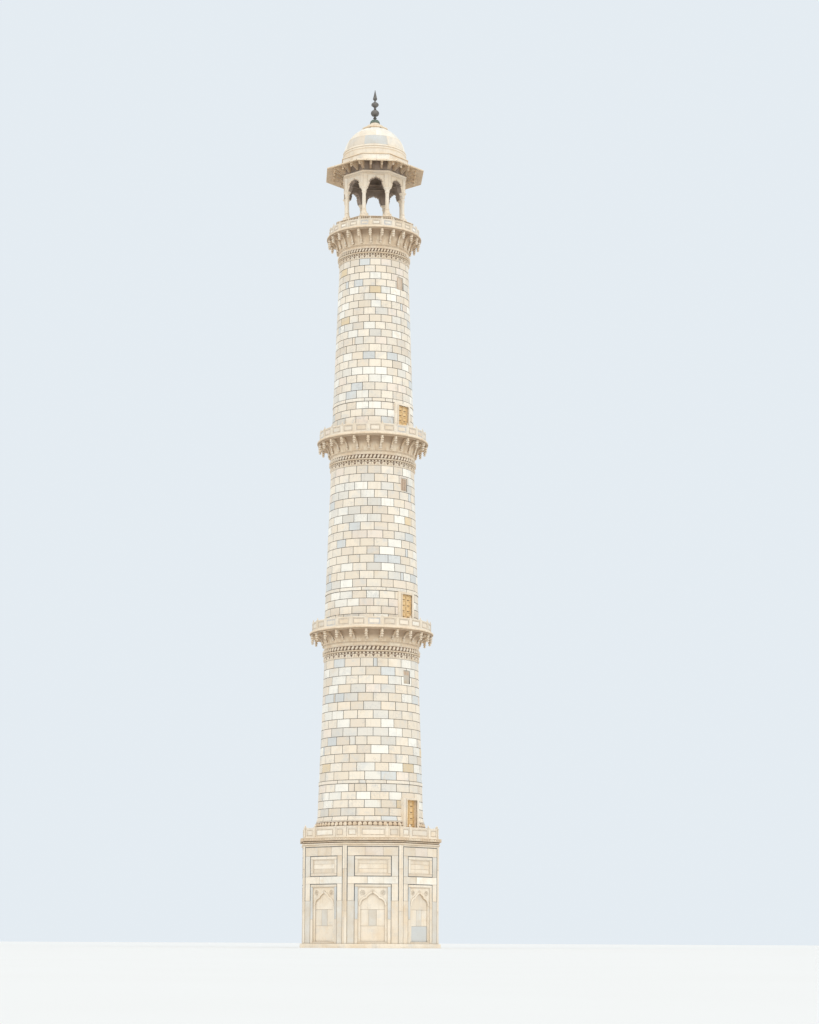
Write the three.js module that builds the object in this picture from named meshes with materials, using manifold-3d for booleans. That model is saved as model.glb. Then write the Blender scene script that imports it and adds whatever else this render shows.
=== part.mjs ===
import * as THREE from 'three';
import { mergeVertices } from 'three/addons/utils/BufferGeometryUtils.js';
import Module from 'manifold-3d';

// A marble minaret on an octagonal base: a tapering hollow shaft of three storeys, a balcony on
// brackets over each, and an open domed pavilion with a bronze finial on top.
// The door side faces -Y. Sizes are those of the real tower in metres, heights are above its
// ground, and the whole model is made at half size in millimetres by the scale of its last group.

const MODEL_MM_PER_METRE = 500;
const GAP = 0.0006; // fitting gap round a piece set in a cut, 0.3 mm on the model

// Octagonal base: apothems and heights
const BASE = {
  apothem: 3.6, footApothem: 3.71, footTop: 0.22, top: 5.38, deck: 5.77,
  torusApothem: 3.67, bandApothem: 3.63, slabApothem: 3.74, torusTop: 5.48, bandTop: 5.6,
};
// Panels of a base side: half widths, heights and depths of the recesses
const PANEL = {
  halfWidth: 0.78, upperBottom: 3.88, upperTop: 4.62, lowerBottom: 0.3, lowerTop: 3.18,
  depth: 0.045, archDepth: 0.1,
};
// Blind arch of a base side, its right half
const BLIND_ARCH = { halfWidth: 0.64, springing: 2.2, cuspX: 0.32, cuspZ: 2.59, apex: 2.86 };

// Octagonal parapet of the base
const BASE_PARAPET = { outer: 3.56, inner: 3.44, top: 6.31, postHalf: 0.07, middlePostX: 0.74 };

// Moulded foot of the shaft on the base deck
const SHAFT_FOOT = { radius: 3.0, plainTop: 6.4, petalTop: 6.63, neck: 2.91, flareTop: 6.92 };

// Storeys of the shaft: floor level, taper of the outside, radius of the hollow, window heights
const STOREYS = [
  {
    name: 'first', floor: BASE.deck, wallFoot: 6.67, string: 8.63, head: 15.33,
    footRadius: 2.845, headRadius: 2.54, inner: 1.75, doorTop: 7.8, windowBottom: 14.03,
  },
  {
    name: 'second', floor: 16.97, wallFoot: 16.97, string: 18.95, head: 25.77,
    footRadius: 2.575, headRadius: 2.27, inner: 1.6, doorTop: 18.84, windowBottom: 24.5,
  },
  {
    name: 'third', floor: 27.47, wallFoot: 27.47, string: 29.3, head: 37.29,
    footRadius: 2.25, headRadius: 1.895, inner: 1.4, doorTop: 29.19, windowBottom: 35.69,
  },
];
const STRING = { height: 0.19, proud: 0.025 };

// Balconies: heights of the carved band, rope, plain band, bracket feet, pendants and slab
const BALCONIES = [
  {
    name: 'lower', bandTop: 15.74, ropeTop: 15.97, plainTop: 16.16, footZ: 16.33, pendantZ: 16.36,
    slabBottom: 16.79, slabTop: 16.97, radius: 3.36, parapetTop: 17.46,
  },
  {
    name: 'middle', bandTop: 26.14, ropeTop: 26.37, plainTop: 26.54, footZ: 26.68, pendantZ: 26.87,
    slabBottom: 27.27, slabTop: 27.47, radius: 3.04, parapetTop: 27.95,
  },
  {
    name: 'top', bandTop: 37.64, ropeTop: 37.84, plainTop: 38.0, footZ: 38.13, pendantZ: 38.38,
    slabBottom: 38.77, slabTop: 38.93, radius: 2.61, parapetTop: 39.33,
  },
];
const BAYS = 24; // brackets, posts and parapet panels round each balcony
const CORBEL = { bandProud: 0.02, ropeProud: 0.085, plainProud: 0.03, ledgeProud: 0.075, ledge: 0.05 };
const BRACKET = { thickness: 0.13, edge: 0.05, pendant: 0.13, foot: 0.1, throat: 0.19 };
const PARAPET = { setBack: 0.12, thickness: 0.1, postHalf: 0.065 };
const BUD = { shoulder: 0.02, height: 0.11 }; // pointed bud on a parapet post

// Doors and windows, all on the -Y side
const DOOR = { halfWidth: 0.39, jamb: 0.22, recess: 0.07, leaf: 0.07, stile: 0.055, relief: 0.02, rows: 6 };
const FRAME_PROUD = 0.02;
const WINDOW = { halfWidth: 0.25, height: 0.72, recess: 0.05, screen: 0.05 };

// Open pavilion on the top balcony: its plinth, apothems, heights and eight columns
const PLINTH = { apothem: 2.05, top: 39.6 };
const PAVILION = {
  outer: 1.66, inner: 1.38, columnApothem: 1.525, springing: 41.36, archTop: 42.1, fasciaTop: 42.29,
  fasciaProud: 0.07, wallTop: 42.84,
};
const QUARTERS = ['front', 'right', 'back', 'left']; // its arches go in pairs, parted on the column lines
const ARCH = {
  foot: 0.42, waist: 0.375, waistHeight: 0.28, crown: 0.26, peak: 0.07, foils: 3, foilDepth: 0.13,
};
const EAVE = { edgeApothem: 2.65, edgeBottom: 42.5, rootApothem: 1.78, thickness: 0.09, tail: 1.42 };
const EAVE_BRACKET = { thickness: 0.12, foot: 42.36, reach: 2.28, offset: 0.3 };
const DRUM = { apothem: 1.78, filletApothem: 1.82, filletBottom: 43.2, top: 43.24, inner: 1.42 };

// Outer and inner profiles as pairs of radius and height
const COLUMN_PROFILE = [
  [0, 39.6], [0.26, 39.6], [0.25, 39.7], [0.2, 39.84], [0.13, 40.07], [0.105, 40.19],
  [0.1, 41.08], [0.13, 41.14], [0.12, 41.19], [0.21, 41.36], [0, 41.36],
];
const DOME_PROFILE = [
  [0, 44.83], [0.82, 44.68], [1.28, 44.2], [1.42, 43.24],
  [1.7, 43.24], [1.715, 43.53], [1.74, 43.57], [1.74, 43.76], [1.69, 43.8],
  [1.64, 44.06], [1.51, 44.36], [1.29, 44.66], [1.03, 44.9], [0.72, 45.09], [0, 45.09],
];
const CAP_PROFILE = [
  [0, 45.09], [0.7, 45.09], [0.745, 45.12], [0.745, 45.19], [0.62, 45.26], [0.48, 45.34],
  [0.32, 45.43], [0.24, 45.54], [0, 45.54],
];
const FINIAL_PROFILE = [
  [0, 45.54], [0.272, 45.54], [0.25, 45.65], [0.17, 45.74], [0.06, 45.78], [0.06, 45.82],
  [0.105, 45.86], [0.06, 45.92], [0.07, 45.97], [0.17, 46.01], [0.23, 46.145], [0.17, 46.28],
  [0.06, 46.33], [0.07, 46.4], [0.05, 46.47], [0.13, 46.53], [0.205, 46.635], [0.13, 46.74],
  [0.045, 46.79], [0.045, 46.87], [0.118, 46.95], [0.105, 47.03], [0, 47.5],
];

const ROUND = 32; // sides of the round shaft
const EIGHTH = Math.PI / 4;
const CORNER = 1 / Math.cos(EIGHTH / 2); // corner radius of an octagon over its apothem

const marble = { color: 0xeee6d6, roughness: 0.6, metalness: 0 };
const weathered = { color: 0xd8c5a2, roughness: 0.75, metalness: 0 };
const ochre = { color: 0xd9a85c, roughness: 0.6, metalness: 0 };
const sandstone = { color: 0xa8784e, roughness: 0.75, metalness: 0 };
const bronze = { color: 0x4c574f, roughness: 0.45, metalness: 0.8 };

const wasm = await Module();
wasm.setup();

// A profile of [radius, height] pairs turned about Z. Turned rings repeat their first point.
function turned(profile, sides = ROUND, phase = 0) {
  const points = profile.map(([radius, height]) => new THREE.Vector2(radius, height));
  return new THREE.LatheGeometry(points, sides, phase).rotateX(Math.PI / 2);
}

function ring(profile, sides = ROUND, phase = 0) {
  return turned([...profile, profile[0]], sides, phase);
}

// An octagon with sides square to the axes, from a profile of [apothem, height] pairs
function octagonal(profile, make = turned) {
  return make(profile.map(([apothem, height]) => [apothem * CORNER, height]), 8, EIGHTH / 2);
}

// A flat shape of [across, up] points in the plane y = 0, thickened from -depth to +depth
function upright(shape, depth) {
  const geometry = new THREE.ExtrudeGeometry(shape, { depth: 2 * depth, bevelEnabled: false });
  return geometry.translate(0, 0, -depth).rotateX(Math.PI / 2);
}

function outline(points) {
  return new THREE.Shape(points.map(([across, up]) => new THREE.Vector2(across, up)));
}

function block(x0, x1, y0, y1, z0, z1) {
  const geometry = new THREE.BoxGeometry(x1 - x0, y1 - y0, z1 - z0);
  return geometry.translate((x0 + x1) / 2, (y0 + y1) / 2, (z0 + z1) / 2);
}

// Joins and cuts
function solid(source) {
  const geometry = source.clone();
  geometry.deleteAttribute('normal');
  geometry.deleteAttribute('uv');
  const merged = mergeVertices(geometry);
  const corners = merged.index.array;
  const kept = [];
  for (let i = 0; i < corners.length; i += 3) {
    const [a, b, c] = [corners[i], corners[i + 1], corners[i + 2]];
    if (a !== b && b !== c && c !== a) {
      kept.push(a, b, c);
    }
  }
  const vertProperties = new Float32Array(merged.attributes.position.array);
  const triVerts = new Uint32Array(kept);
  return new wasm.Manifold(new wasm.Mesh({ numProp: 3, vertProperties, triVerts }));
}

function geometryOf(manifold) {
  const mesh = manifold.getMesh();
  const geometry = new THREE.BufferGeometry();
  geometry.setAttribute('position', new THREE.BufferAttribute(mesh.vertProperties, 3));
  geometry.setIndex(new THREE.BufferAttribute(mesh.triVerts, 1));
  geometry.computeVertexNormals();
  return geometry;
}

function joined(body, pieces) {
  return geometryOf(pieces.reduce((whole, piece) => whole.add(solid(piece)), solid(body)));
}

function cut(body, tools) {
  return geometryOf(tools.reduce((rest, tool) => rest.subtract(solid(tool)), solid(body)));
}

function common(body, other) {
  return geometryOf(solid(body).intersect(solid(other)));
}

const minaret = new THREE.Group();

function place(name, geometry, finish) {
  const mesh = new THREE.Mesh(geometry, new THREE.MeshStandardMaterial(finish));
  mesh.name = name;
  minaret.add(mesh);
}

// Octagonal base

function blindArch() {
  const { halfWidth, springing, cuspX, cuspZ, apex } = BLIND_ARCH;
  const right = new THREE.Path();
  right.moveTo(halfWidth, PANEL.lowerBottom);
  right.lineTo(halfWidth, springing);
  right.quadraticCurveTo(halfWidth, cuspZ - 0.06, cuspX, cuspZ);
  right.quadraticCurveTo(cuspX - 0.03, apex - 0.14, 0, apex);
  const half = right.getPoints(4);
  const left = half.slice(0, -1).reverse().map((point) => new THREE.Vector2(-point.x, point.y));
  return new THREE.Shape([...half, ...left]);
}

function baseOctagon() {
  const body = octagonal([
    [0, 0], [BASE.footApothem, 0], [BASE.footApothem, BASE.footTop], [BASE.apothem, BASE.footTop],
    [BASE.apothem, BASE.top], [0, BASE.top],
  ]);
  const { halfWidth, depth, archDepth } = PANEL;
  const recesses = [];
  for (let side = 0; side < 8; side += 1) {
    const face = -BASE.apothem;
    const upper = block(-halfWidth, halfWidth, face - 1, face + depth, PANEL.upperBottom, PANEL.upperTop);
    const lower = block(-halfWidth, halfWidth, face - 1, face + depth, PANEL.lowerBottom, PANEL.lowerTop);
    const arch = upright(blindArch(), archDepth).translate(0, face, 0);
    recesses.push(...[upper, lower, arch].map((tool) => tool.rotateZ(side * EIGHTH)));
  }
  place('base_octagon', cut(body, recesses), marble);
}

function baseCornice() {
  const { top, torusTop, bandTop, deck } = BASE;
  place('base_cornice', octagonal([
    [0, top], [BASE.apothem, top], [BASE.torusApothem, top + 0.04], [BASE.torusApothem, torusTop - 0.04],
    [BASE.bandApothem, torusTop], [BASE.slabApothem - 0.06, bandTop], [BASE.slabApothem, bandTop],
    [BASE.slabApothem, deck], [0, deck],
  ]), weathered);
}

// A square post with a pointed bud, standing at x, y
function budPost(half, bottom, top, x, y) {
  const corner = half * Math.SQRT2;
  const shoulder = top + BUD.shoulder;
  const profile = [[0, bottom], [corner, bottom], [corner, shoulder], [0, shoulder + BUD.height]];
  return turned(profile, 4, EIGHTH).translate(x, y, 0);
}

function baseParapet() {
  const { outer, inner, top, postHalf, middlePostX } = BASE_PARAPET;
  const section = [[inner, BASE.deck], [outer, BASE.deck], [outer, top], [inner, top]];
  const middle = (outer + inner) / 2;
  const posts = [];
  for (let side = 0; side < 8; side += 1) {
    const turn = side * EIGHTH;
    const cornerTurn = turn + EIGHTH / 2;
    const corner = middle * CORNER;
    posts.push(budPost(postHalf, BASE.deck, top, 0, -corner).rotateZ(cornerTurn));
    for (const x of [-middlePostX, middlePostX]) {
      posts.push(budPost(postHalf, BASE.deck, top, x, -middle).rotateZ(turn));
    }
  }
  place('base_parapet', joined(octagonal(section, ring), posts), marble);
}

// Shaft

// Cut for a door frame, a little wider than the frame
function doorwayCut(storey) {
  const half = DOOR.halfWidth + DOOR.jamb + GAP;
  return block(-half, half, -4, -0.5, storey.floor - 1, storey.doorTop + DOOR.jamb / 2 + GAP);
}

function shaftFoot() {
  const storey = STOREYS[0];
  const { radius, plainTop, petalTop, neck } = SHAFT_FOOT;
  const body = ring([
    [storey.inner, storey.floor], [radius, storey.floor], [radius, plainTop], [neck + 0.06, plainTop + 0.03],
    [neck + 0.02, petalTop], [neck, storey.wallFoot], [storey.inner, storey.wallFoot],
  ]);
  place('shaft_foot', cut(body, [doorwayCut(storey)]), marble);
}

function lowerWall(storey) {
  const outside = storey === STOREYS[0]
    ? [[SHAFT_FOOT.neck, storey.wallFoot], [radiusAt(storey, SHAFT_FOOT.flareTop), SHAFT_FOOT.flareTop]]
    : [[storey.footRadius, storey.wallFoot]];
  const body = ring([
    [storey.inner, storey.wallFoot], ...outside, [radiusAt(storey, storey.string), storey.string],
    [storey.inner, storey.string],
  ]);
  place(`${storey.name}_storey_lower_wall`, cut(body, [doorwayCut(storey)]), marble);
}

function radiusAt(storey, z) {
  const share = (z - storey.wallFoot) / (storey.head - storey.wallFoot);
  return THREE.MathUtils.lerp(storey.footRadius, storey.headRadius, share);
}

function stringCourse(storey) {
  const outer = radiusAt(storey, storey.string) + STRING.proud;
  const top = storey.string + STRING.height;
  place(`${storey.name}_storey_string_course`, ring([
    [storey.inner, storey.string], [outer, storey.string], [outer, top], [storey.inner, top],
  ]), marble);
}

function upperWall(storey) {
  const bottom = storey.string + STRING.height;
  const body = ring([
    [storey.inner, bottom], [radiusAt(storey, bottom), bottom], [storey.headRadius, storey.head],
    [storey.inner, storey.head],
  ]);
  const window = block(
    -WINDOW.halfWidth, WINDOW.halfWidth, -4, -0.5, storey.windowBottom, storey.windowBottom + WINDOW.height,
  );
  place(`${storey.name}_storey_upper_wall`, cut(body, [window]), marble);
}

function windowScreen(storey) {
  const half = WINDOW.halfWidth - GAP;
  const front = -radiusAt(storey, storey.windowBottom) + WINDOW.recess;
  const bottom = storey.windowBottom;
  const top = bottom + WINDOW.height - GAP;
  const screen = block(-half, half, front, front + WINDOW.screen, bottom, top);
  place(`${storey.name}_storey_window`, screen, sandstone);
}

// A stone frame as deep as the wall, following the round of the shaft in front
function doorFrame(storey) {
  const half = DOOR.halfWidth + DOOR.jamb;
  const top = storey.doorTop + DOOR.jamb / 2;
  const face = Math.max(storey.footRadius, storey === STOREYS[0] ? SHAFT_FOOT.radius : 0) + FRAME_PROUD;
  const bar = block(-half, half, -4, -storey.inner, storey.floor, top);
  const opening = block(-DOOR.halfWidth, DOOR.halfWidth, -5, 0, storey.floor - 1, storey.doorTop);
  const drum = turned([[0, storey.floor], [face, storey.floor], [face, top], [0, top]]);
  place(`${storey.name}_storey_door_frame`, common(cut(bar, [opening]), drum), marble);
}

// A leaf with a raised framework round two columns of panels
function doorLeaf(storey) {
  const half = DOOR.halfWidth - GAP;
  const height = storey.doorTop - GAP - storey.floor;
  const front = -radiusAt(storey, storey.floor) + DOOR.recess;
  const leaf = block(-half, half, front, front + DOOR.leaf, storey.floor, storey.floor + height);
  const panelWidth = (2 * half - 3 * DOOR.stile) / 2;
  const pitch = (height - DOOR.stile) / DOOR.rows;
  const panels = [];
  for (const x of [-half + DOOR.stile, DOOR.stile / 2]) {
    for (let row = 0; row < DOOR.rows; row += 1) {
      const z = storey.floor + DOOR.stile + row * pitch;
      panels.push(block(x, x + panelWidth, front - 1, front + DOOR.relief, z, z + pitch - DOOR.stile));
    }
  }
  place(`${storey.name}_storey_door`, cut(leaf, panels), ochre);
}

// Balconies

// S-shaped bracket with a pendant at its outer end, in the plane of radius and height
function bracket(storey, balcony) {
  const edge = balcony.radius - BRACKET.edge;
  const root = storey.headRadius - 0.1;
  const foot = storey.headRadius + CORBEL.ledgeProud + BRACKET.foot;
  const shape = new THREE.Shape();
  shape.moveTo(root, balcony.footZ);
  shape.lineTo(foot, balcony.footZ);
  shape.quadraticCurveTo(foot + 0.02, balcony.slabBottom - BRACKET.throat, edge - BRACKET.pendant,
    balcony.slabBottom - BRACKET.throat);
  shape.lineTo(edge - BRACKET.pendant, balcony.pendantZ);
  shape.lineTo(edge, balcony.pendantZ);
  shape.lineTo(edge, balcony.slabBottom);
  shape.lineTo(root, balcony.slabBottom);
  const settings = { depth: BRACKET.thickness, bevelEnabled: false, curveSegments: 2 };
  const geometry = new THREE.ExtrudeGeometry(shape, settings);
  return geometry.translate(0, 0, -BRACKET.thickness / 2).rotateX(Math.PI / 2);
}

function corbelRing(storey, balcony) {
  const wall = storey.headRadius;
  const { bandProud, ropeProud, plainProud, ledgeProud, ledge } = CORBEL;
  const { bandTop, ropeTop, plainTop, slabBottom } = balcony;
  const rope = ropeTop - bandTop;
  const hollow = new THREE.QuadraticBezierCurve(
    new THREE.Vector2(wall + ledgeProud, plainTop + ledge),
    new THREE.Vector2(wall + ledgeProud + 0.04, slabBottom - 0.14),
    new THREE.Vector2(balcony.radius - 0.3, slabBottom),
  );
  const body = ring([
    [storey.inner, storey.head], [wall + bandProud, storey.head], [wall + bandProud, bandTop],
    [wall + ropeProud, bandTop + rope * 0.25], [wall + ropeProud, bandTop + rope * 0.75],
    [wall + plainProud, ropeTop], [wall + plainProud, plainTop], [wall + ledgeProud, plainTop],
    ...hollow.getPoints(2).map((point) => [point.x, point.y]),
    [storey.inner, slabBottom],
  ], BAYS, Math.PI / BAYS);
  const brackets = [];
  for (let bay = 0; bay < BAYS; bay += 1) {
    brackets.push(bracket(storey, balcony).rotateZ((bay + 0.5) * 2 * Math.PI / BAYS));
  }
  place(`${balcony.name}_balcony_corbels`, joined(body, brackets), weathered);
}

function balconySlab(balcony) {
  const { radius, slabBottom, slabTop } = balcony;
  place(`${balcony.name}_balcony_floor`, turned([
    [0, slabBottom], [radius, slabBottom], [radius, slabTop], [0, slabTop],
  ], 2 * BAYS), weathered);
}

function balconyParapet(balcony) {
  const { slabTop, parapetTop, radius } = balcony;
  const { setBack, thickness, postHalf } = PARAPET;
  const outer = radius - setBack;
  const inner = outer - thickness;
  const halfBay = Math.PI / BAYS;
  const posts = [];
  for (let bay = 0; bay < BAYS; bay += 1) {
    const post = budPost(postHalf, slabTop, parapetTop, 0, -(outer + inner) / 2);
    posts.push(post.rotateZ((2 * bay + 1) * halfBay));
  }
  const profile = [[inner, slabTop], [outer, slabTop], [outer, parapetTop], [inner, parapetTop]];
  const wall = ring(profile, BAYS, halfBay);
  place(`${balcony.name}_balcony_parapet`, joined(wall, posts), marble);
}

// Pavilion

// Octagonal plinth that stands on the top balcony and carries the columns
function pavilionPlinth(bottom) {
  const { apothem, top } = PLINTH;
  place('pavilion_plinth', octagonal([[0, bottom], [apothem, bottom], [apothem, top], [0, top]]), marble);
}

function columns() {
  for (let corner = 0; corner < 8; corner += 1) {
    const column = turned(COLUMN_PROFILE, 8, EIGHTH / 2).translate(0, -PAVILION.columnApothem * CORNER, 0);
    place(`pavilion_column_${corner + 1}`, column.rotateZ((corner + 0.5) * EIGHTH), marble);
  }
}

// Pointed arch whose sides lean in to a waist, under a crown of foils that meet in cusps
function multifoilArch() {
  const { foot, waist, waistHeight, crown, peak, foils, foilDepth } = ARCH;
  const below = 0.2;
  const right = [[foot, -below], [foot, 0], [waist, waistHeight / 2]];
  const steps = foils * 3;
  for (let step = 0; step < steps; step += 1) {
    const share = step / steps;
    const angle = share * Math.PI / 2;
    const swell = 1 + foilDepth * (Math.abs(Math.sin(foils * Math.PI * share)) - 1);
    right.push([waist * swell * Math.cos(angle), waistHeight + crown * swell * Math.sin(angle)]);
  }
  const left = right.slice().reverse().map(([across, up]) => [-across, up]);
  return outline([...right, [0, waistHeight + crown + peak], ...left]);
}

function pavilionArches() {
  const { outer, inner, springing, archTop } = PAVILION;
  const body = octagonal([[inner, springing], [outer, springing], [outer, archTop], [inner, archTop]], ring);
  const arches = [];
  for (let side = 0; side < 4; side += 1) {
    arches.push(upright(multifoilArch(), 3).translate(0, 0, springing).rotateZ(side * EIGHTH));
  }
  const arcade = cut(body, arches);
  QUARTERS.forEach((quarter, index) => {
    const wedge = block(0, 3, 0, 3, springing - 1, archTop + 1).rotateZ((2 * index - 2.5) * EIGHTH);
    place(`pavilion_arches_${quarter}`, common(arcade, wedge), marble);
  });
}

// Strut under the eave. A corner strut is stretched to the corner and drops with both slopes there.
function eaveBracket(stretch) {
  const { thickness, foot, reach } = EAVE_BRACKET;
  const slope = (PAVILION.wallTop - EAVE.edgeBottom) / (EAVE.edgeApothem - EAVE.rootApothem);
  const clearance = 2 * GAP + (stretch > 1 ? slope * Math.sin(EIGHTH / 2) * thickness / 2 : 0);
  const soffit = (distance) => PAVILION.wallTop - (distance - EAVE.rootApothem) * slope - clearance;
  const root = PAVILION.outer - 0.1;
  const shape = outline([
    [root * stretch, foot], [(PAVILION.outer + 0.12) * stretch, foot],
    [(reach - 0.14) * stretch, soffit(reach) - 0.1], [reach * stretch, soffit(reach) - 0.1],
    [reach * stretch, soffit(reach)], [EAVE.rootApothem * stretch, soffit(EAVE.rootApothem)],
    [root * stretch, soffit(EAVE.rootApothem)],
  ]);
  return upright(shape, thickness / 2).rotateZ(-Math.PI / 2);
}

function pavilionEntablature() {
  const { outer, inner, archTop, fasciaTop, fasciaProud, wallTop } = PAVILION;
  const body = octagonal([
    [inner, archTop], [outer + fasciaProud / 2, archTop], [outer + fasciaProud, fasciaTop],
    [outer, fasciaTop], [outer, wallTop], [inner, wallTop],
  ], ring);
  const brackets = [];
  for (let side = 0; side < 8; side += 1) {
    const turn = side * EIGHTH;
    brackets.push(eaveBracket(CORNER).rotateZ(turn + EIGHTH / 2));
    for (const x of [-EAVE_BRACKET.offset, EAVE_BRACKET.offset]) {
      brackets.push(eaveBracket(1).translate(x, 0, 0).rotateZ(turn));
    }
  }
  place('pavilion_entablature', joined(body, brackets), weathered);
}

function pavilionEave() {
  const { edgeApothem, edgeBottom, rootApothem, thickness, tail } = EAVE;
  const bottom = PAVILION.wallTop;
  place('pavilion_eave', octagonal([
    [tail, bottom], [rootApothem, bottom], [edgeApothem, edgeBottom], [edgeApothem, edgeBottom + 0.07],
    [rootApothem, bottom + thickness], [tail, bottom + thickness],
  ], ring), weathered);
}

function domeDrum() {
  const bottom = PAVILION.wallTop + EAVE.thickness;
  const { apothem, filletApothem, filletBottom, top, inner } = DRUM;
  place('dome_drum', octagonal([
    [inner, bottom], [apothem, bottom], [apothem, filletBottom], [filletApothem, filletBottom],
    [filletApothem, top], [inner, top],
  ], ring), marble);
}

baseOctagon();
baseCornice();
baseParapet();
shaftFoot();
STOREYS.forEach((storey, level) => {
  lowerWall(storey);
  stringCourse(storey);
  upperWall(storey);
  doorFrame(storey);
  doorLeaf(storey);
  windowScreen(storey);
  corbelRing(storey, BALCONIES[level]);
  balconySlab(BALCONIES[level]);
  balconyParapet(BALCONIES[level]);
});
pavilionPlinth(BALCONIES[2].slabTop);
columns();
pavilionArches();
pavilionEntablature();
pavilionEave();
domeDrum();
place('dome', turned(DOME_PROFILE), marble);
place('lotus_cap', turned(CAP_PROFILE, 16), weathered);
place('finial', turned(FINIAL_PROFILE, 10), bronze);

minaret.scale.setScalar(MODEL_MM_PER_METRE);

export default minaret;
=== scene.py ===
"""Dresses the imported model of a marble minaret: masonry, carving, finishes, stage and camera.

Sizes are those of the real tower in metres, with heights above its ground. The last step of each
piece brings it to the model's half size. The door side faces -Y.
"""

import random
from bisect import bisect_right
from math import atan2, cos, degrees, hypot, pi, radians, sin, tan, tau
from types import SimpleNamespace as Sizes

import bmesh
import bpy
from bpy.props import FloatProperty, FloatVectorProperty, IntProperty, PointerProperty
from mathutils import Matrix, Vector


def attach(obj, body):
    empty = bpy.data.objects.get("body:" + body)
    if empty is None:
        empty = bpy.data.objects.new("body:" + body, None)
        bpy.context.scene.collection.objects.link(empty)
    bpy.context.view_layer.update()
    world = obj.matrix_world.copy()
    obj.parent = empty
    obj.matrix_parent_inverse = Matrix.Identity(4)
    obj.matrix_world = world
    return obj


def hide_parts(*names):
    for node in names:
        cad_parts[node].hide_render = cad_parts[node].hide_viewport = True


bl_info = {
    "name": "Marble minaret",
    "version": (1, 0, 0),
    "blender": (4, 5, 0),
    "location": "3D View > Sidebar > Minaret",
    "description": "Builds the looks of a half-size marble minaret round its packed solids",
    "category": "Object",
}

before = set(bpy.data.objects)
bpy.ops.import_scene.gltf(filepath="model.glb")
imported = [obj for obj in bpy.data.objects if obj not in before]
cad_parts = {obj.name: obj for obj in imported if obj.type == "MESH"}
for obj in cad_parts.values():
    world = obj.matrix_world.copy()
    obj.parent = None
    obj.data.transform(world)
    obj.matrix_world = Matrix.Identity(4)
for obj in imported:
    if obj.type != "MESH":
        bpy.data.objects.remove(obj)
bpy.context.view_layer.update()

MODEL = 0.5  # metres of the model for each metre of the real tower

# Octagonal base: distances of its flats from the axis, and heights
BASE = Sizes(
    flat=3.6, foot=3.71, foot_top=0.22, top=5.38, torus=3.67, torus_top=5.48,
    band=3.63, band_top=5.6, slab=3.74, deck=5.77,
)
PANEL = Sizes(half=0.78, low=0.3, top=3.18, upper_low=3.88, upper_top=4.62, depth=0.045, arch_depth=0.1)
BLIND_ARCH = Sizes(half=0.64, springing=2.2, cusp_x=0.32, cusp_z=2.59, apex=2.86)
BASE_PARAPET = Sizes(outer=3.56, inner=3.44, top=6.31, post_x=0.74, line=(0.075, 0.055))
SHAFT_FOOT = Sizes(radius=3.0, plain_top=6.4, petal_top=6.63, neck=2.91, flare_top=6.92, petals=68)


def even(low, high, count):
    """Heights that cut a wall in courses of the same height."""
    return [low + (high - low) * step / count for step in range(count + 1)]


def easing(low, high, count, first, last):
    """Heights that cut a wall in courses whose height goes from first to last in proportion."""
    heights = [first + (last - first) * step / (count - 1) for step in range(count)]
    unit = (high - low) / sum(heights)
    return [low + unit * sum(heights[:step]) for step in range(count + 1)]


STOREYS = (
    Sizes(
        name="first", balcony="lower", floor=5.77, foot=6.67, string=8.63, head=15.33,
        foot_radius=2.845, head_radius=2.54, inner=1.75, door_top=7.8, window=14.03,
        low_courses=[6.67, *even(6.92, 8.63, 4)], high_courses=even(8.82, 15.33, 14),
        band_top=15.74, rope_top=15.97, plain_top=16.16, bracket_foot=16.33, pendant=16.36,
        slab_low=16.79, slab_top=16.97, slab_radius=3.36, parapet_top=17.46,
    ),
    Sizes(
        name="second", balcony="middle", floor=16.97, foot=16.97, string=18.95, head=25.77,
        foot_radius=2.575, head_radius=2.27, inner=1.6, door_top=18.84, window=24.5,
        low_courses=[16.97, *even(17.28, 18.95, 4)], high_courses=even(19.14, 25.77, 15),
        band_top=26.14, rope_top=26.37, plain_top=26.54, bracket_foot=26.68, pendant=26.87,
        slab_low=27.27, slab_top=27.47, slab_radius=3.04, parapet_top=27.95,
    ),
    Sizes(
        name="third", balcony="top", floor=27.47, foot=27.47, string=29.3, head=37.29,
        foot_radius=2.25, head_radius=1.895, inner=1.4, door_top=29.19, window=35.69,
        low_courses=[27.47, *even(27.67, 29.3, 4)], high_courses=easing(29.49, 37.29, 19, 0.43, 0.375),
        band_top=37.64, rope_top=37.84, plain_top=38.0, bracket_foot=38.13, pendant=38.38,
        slab_low=38.77, slab_top=38.93, slab_radius=2.61, parapet_top=39.33,
    ),
)
STRING = Sizes(height=0.19, proud=0.025, blocks=12)
BAYS = 24
DOOR = Sizes(half=0.39, jamb=0.22, lip=0.05, proud=0.02, recess=0.07, rows=6, stile=0.05)
WINDOW = Sizes(half=0.25, height=0.72, recess=0.05, edge=0.04, gap=0.012, rib=0.018)
PLINTH = Sizes(flat=2.06, band_low=39.42, top=39.6)
SEED = Sizes(base=11, base_parapet=12, walls=40, strings=60, parapets=80, eave=101, drum=102, dome=103)
PAVILION = Sizes(
    outer=1.66, inner=1.38, column=1.525, floor=39.6, springing=41.36, arch_top=42.1,
    fascia_top=42.29, wall_top=42.84,
)
ARCH = Sizes(foot=0.42, waist=0.375, waist_height=0.28, crown=0.27, peak=0.08, foils=4, depth=0.15)
EAVE = Sizes(edge=2.65, edge_low=42.5, root=1.78, thickness=0.09, tail=1.42, reach=2.28, foot=42.36)
DRUM = Sizes(flat=1.78, fillet=1.82, fillet_low=43.2, top=43.24, inner=1.42)
SIDES = 8
HALF_SIDE = 180 / SIDES  # degrees from the middle of an octagon's side to its corner
CORNER = 1 / cos(radians(HALF_SIDE))  # corner radius of an octagon for each metre to its flats
SIDE_SLOPE = tan(radians(HALF_SIDE))  # half of a side's length for each metre to its flats
BAY = 360 / BAYS  # degrees between the posts of a balcony
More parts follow.
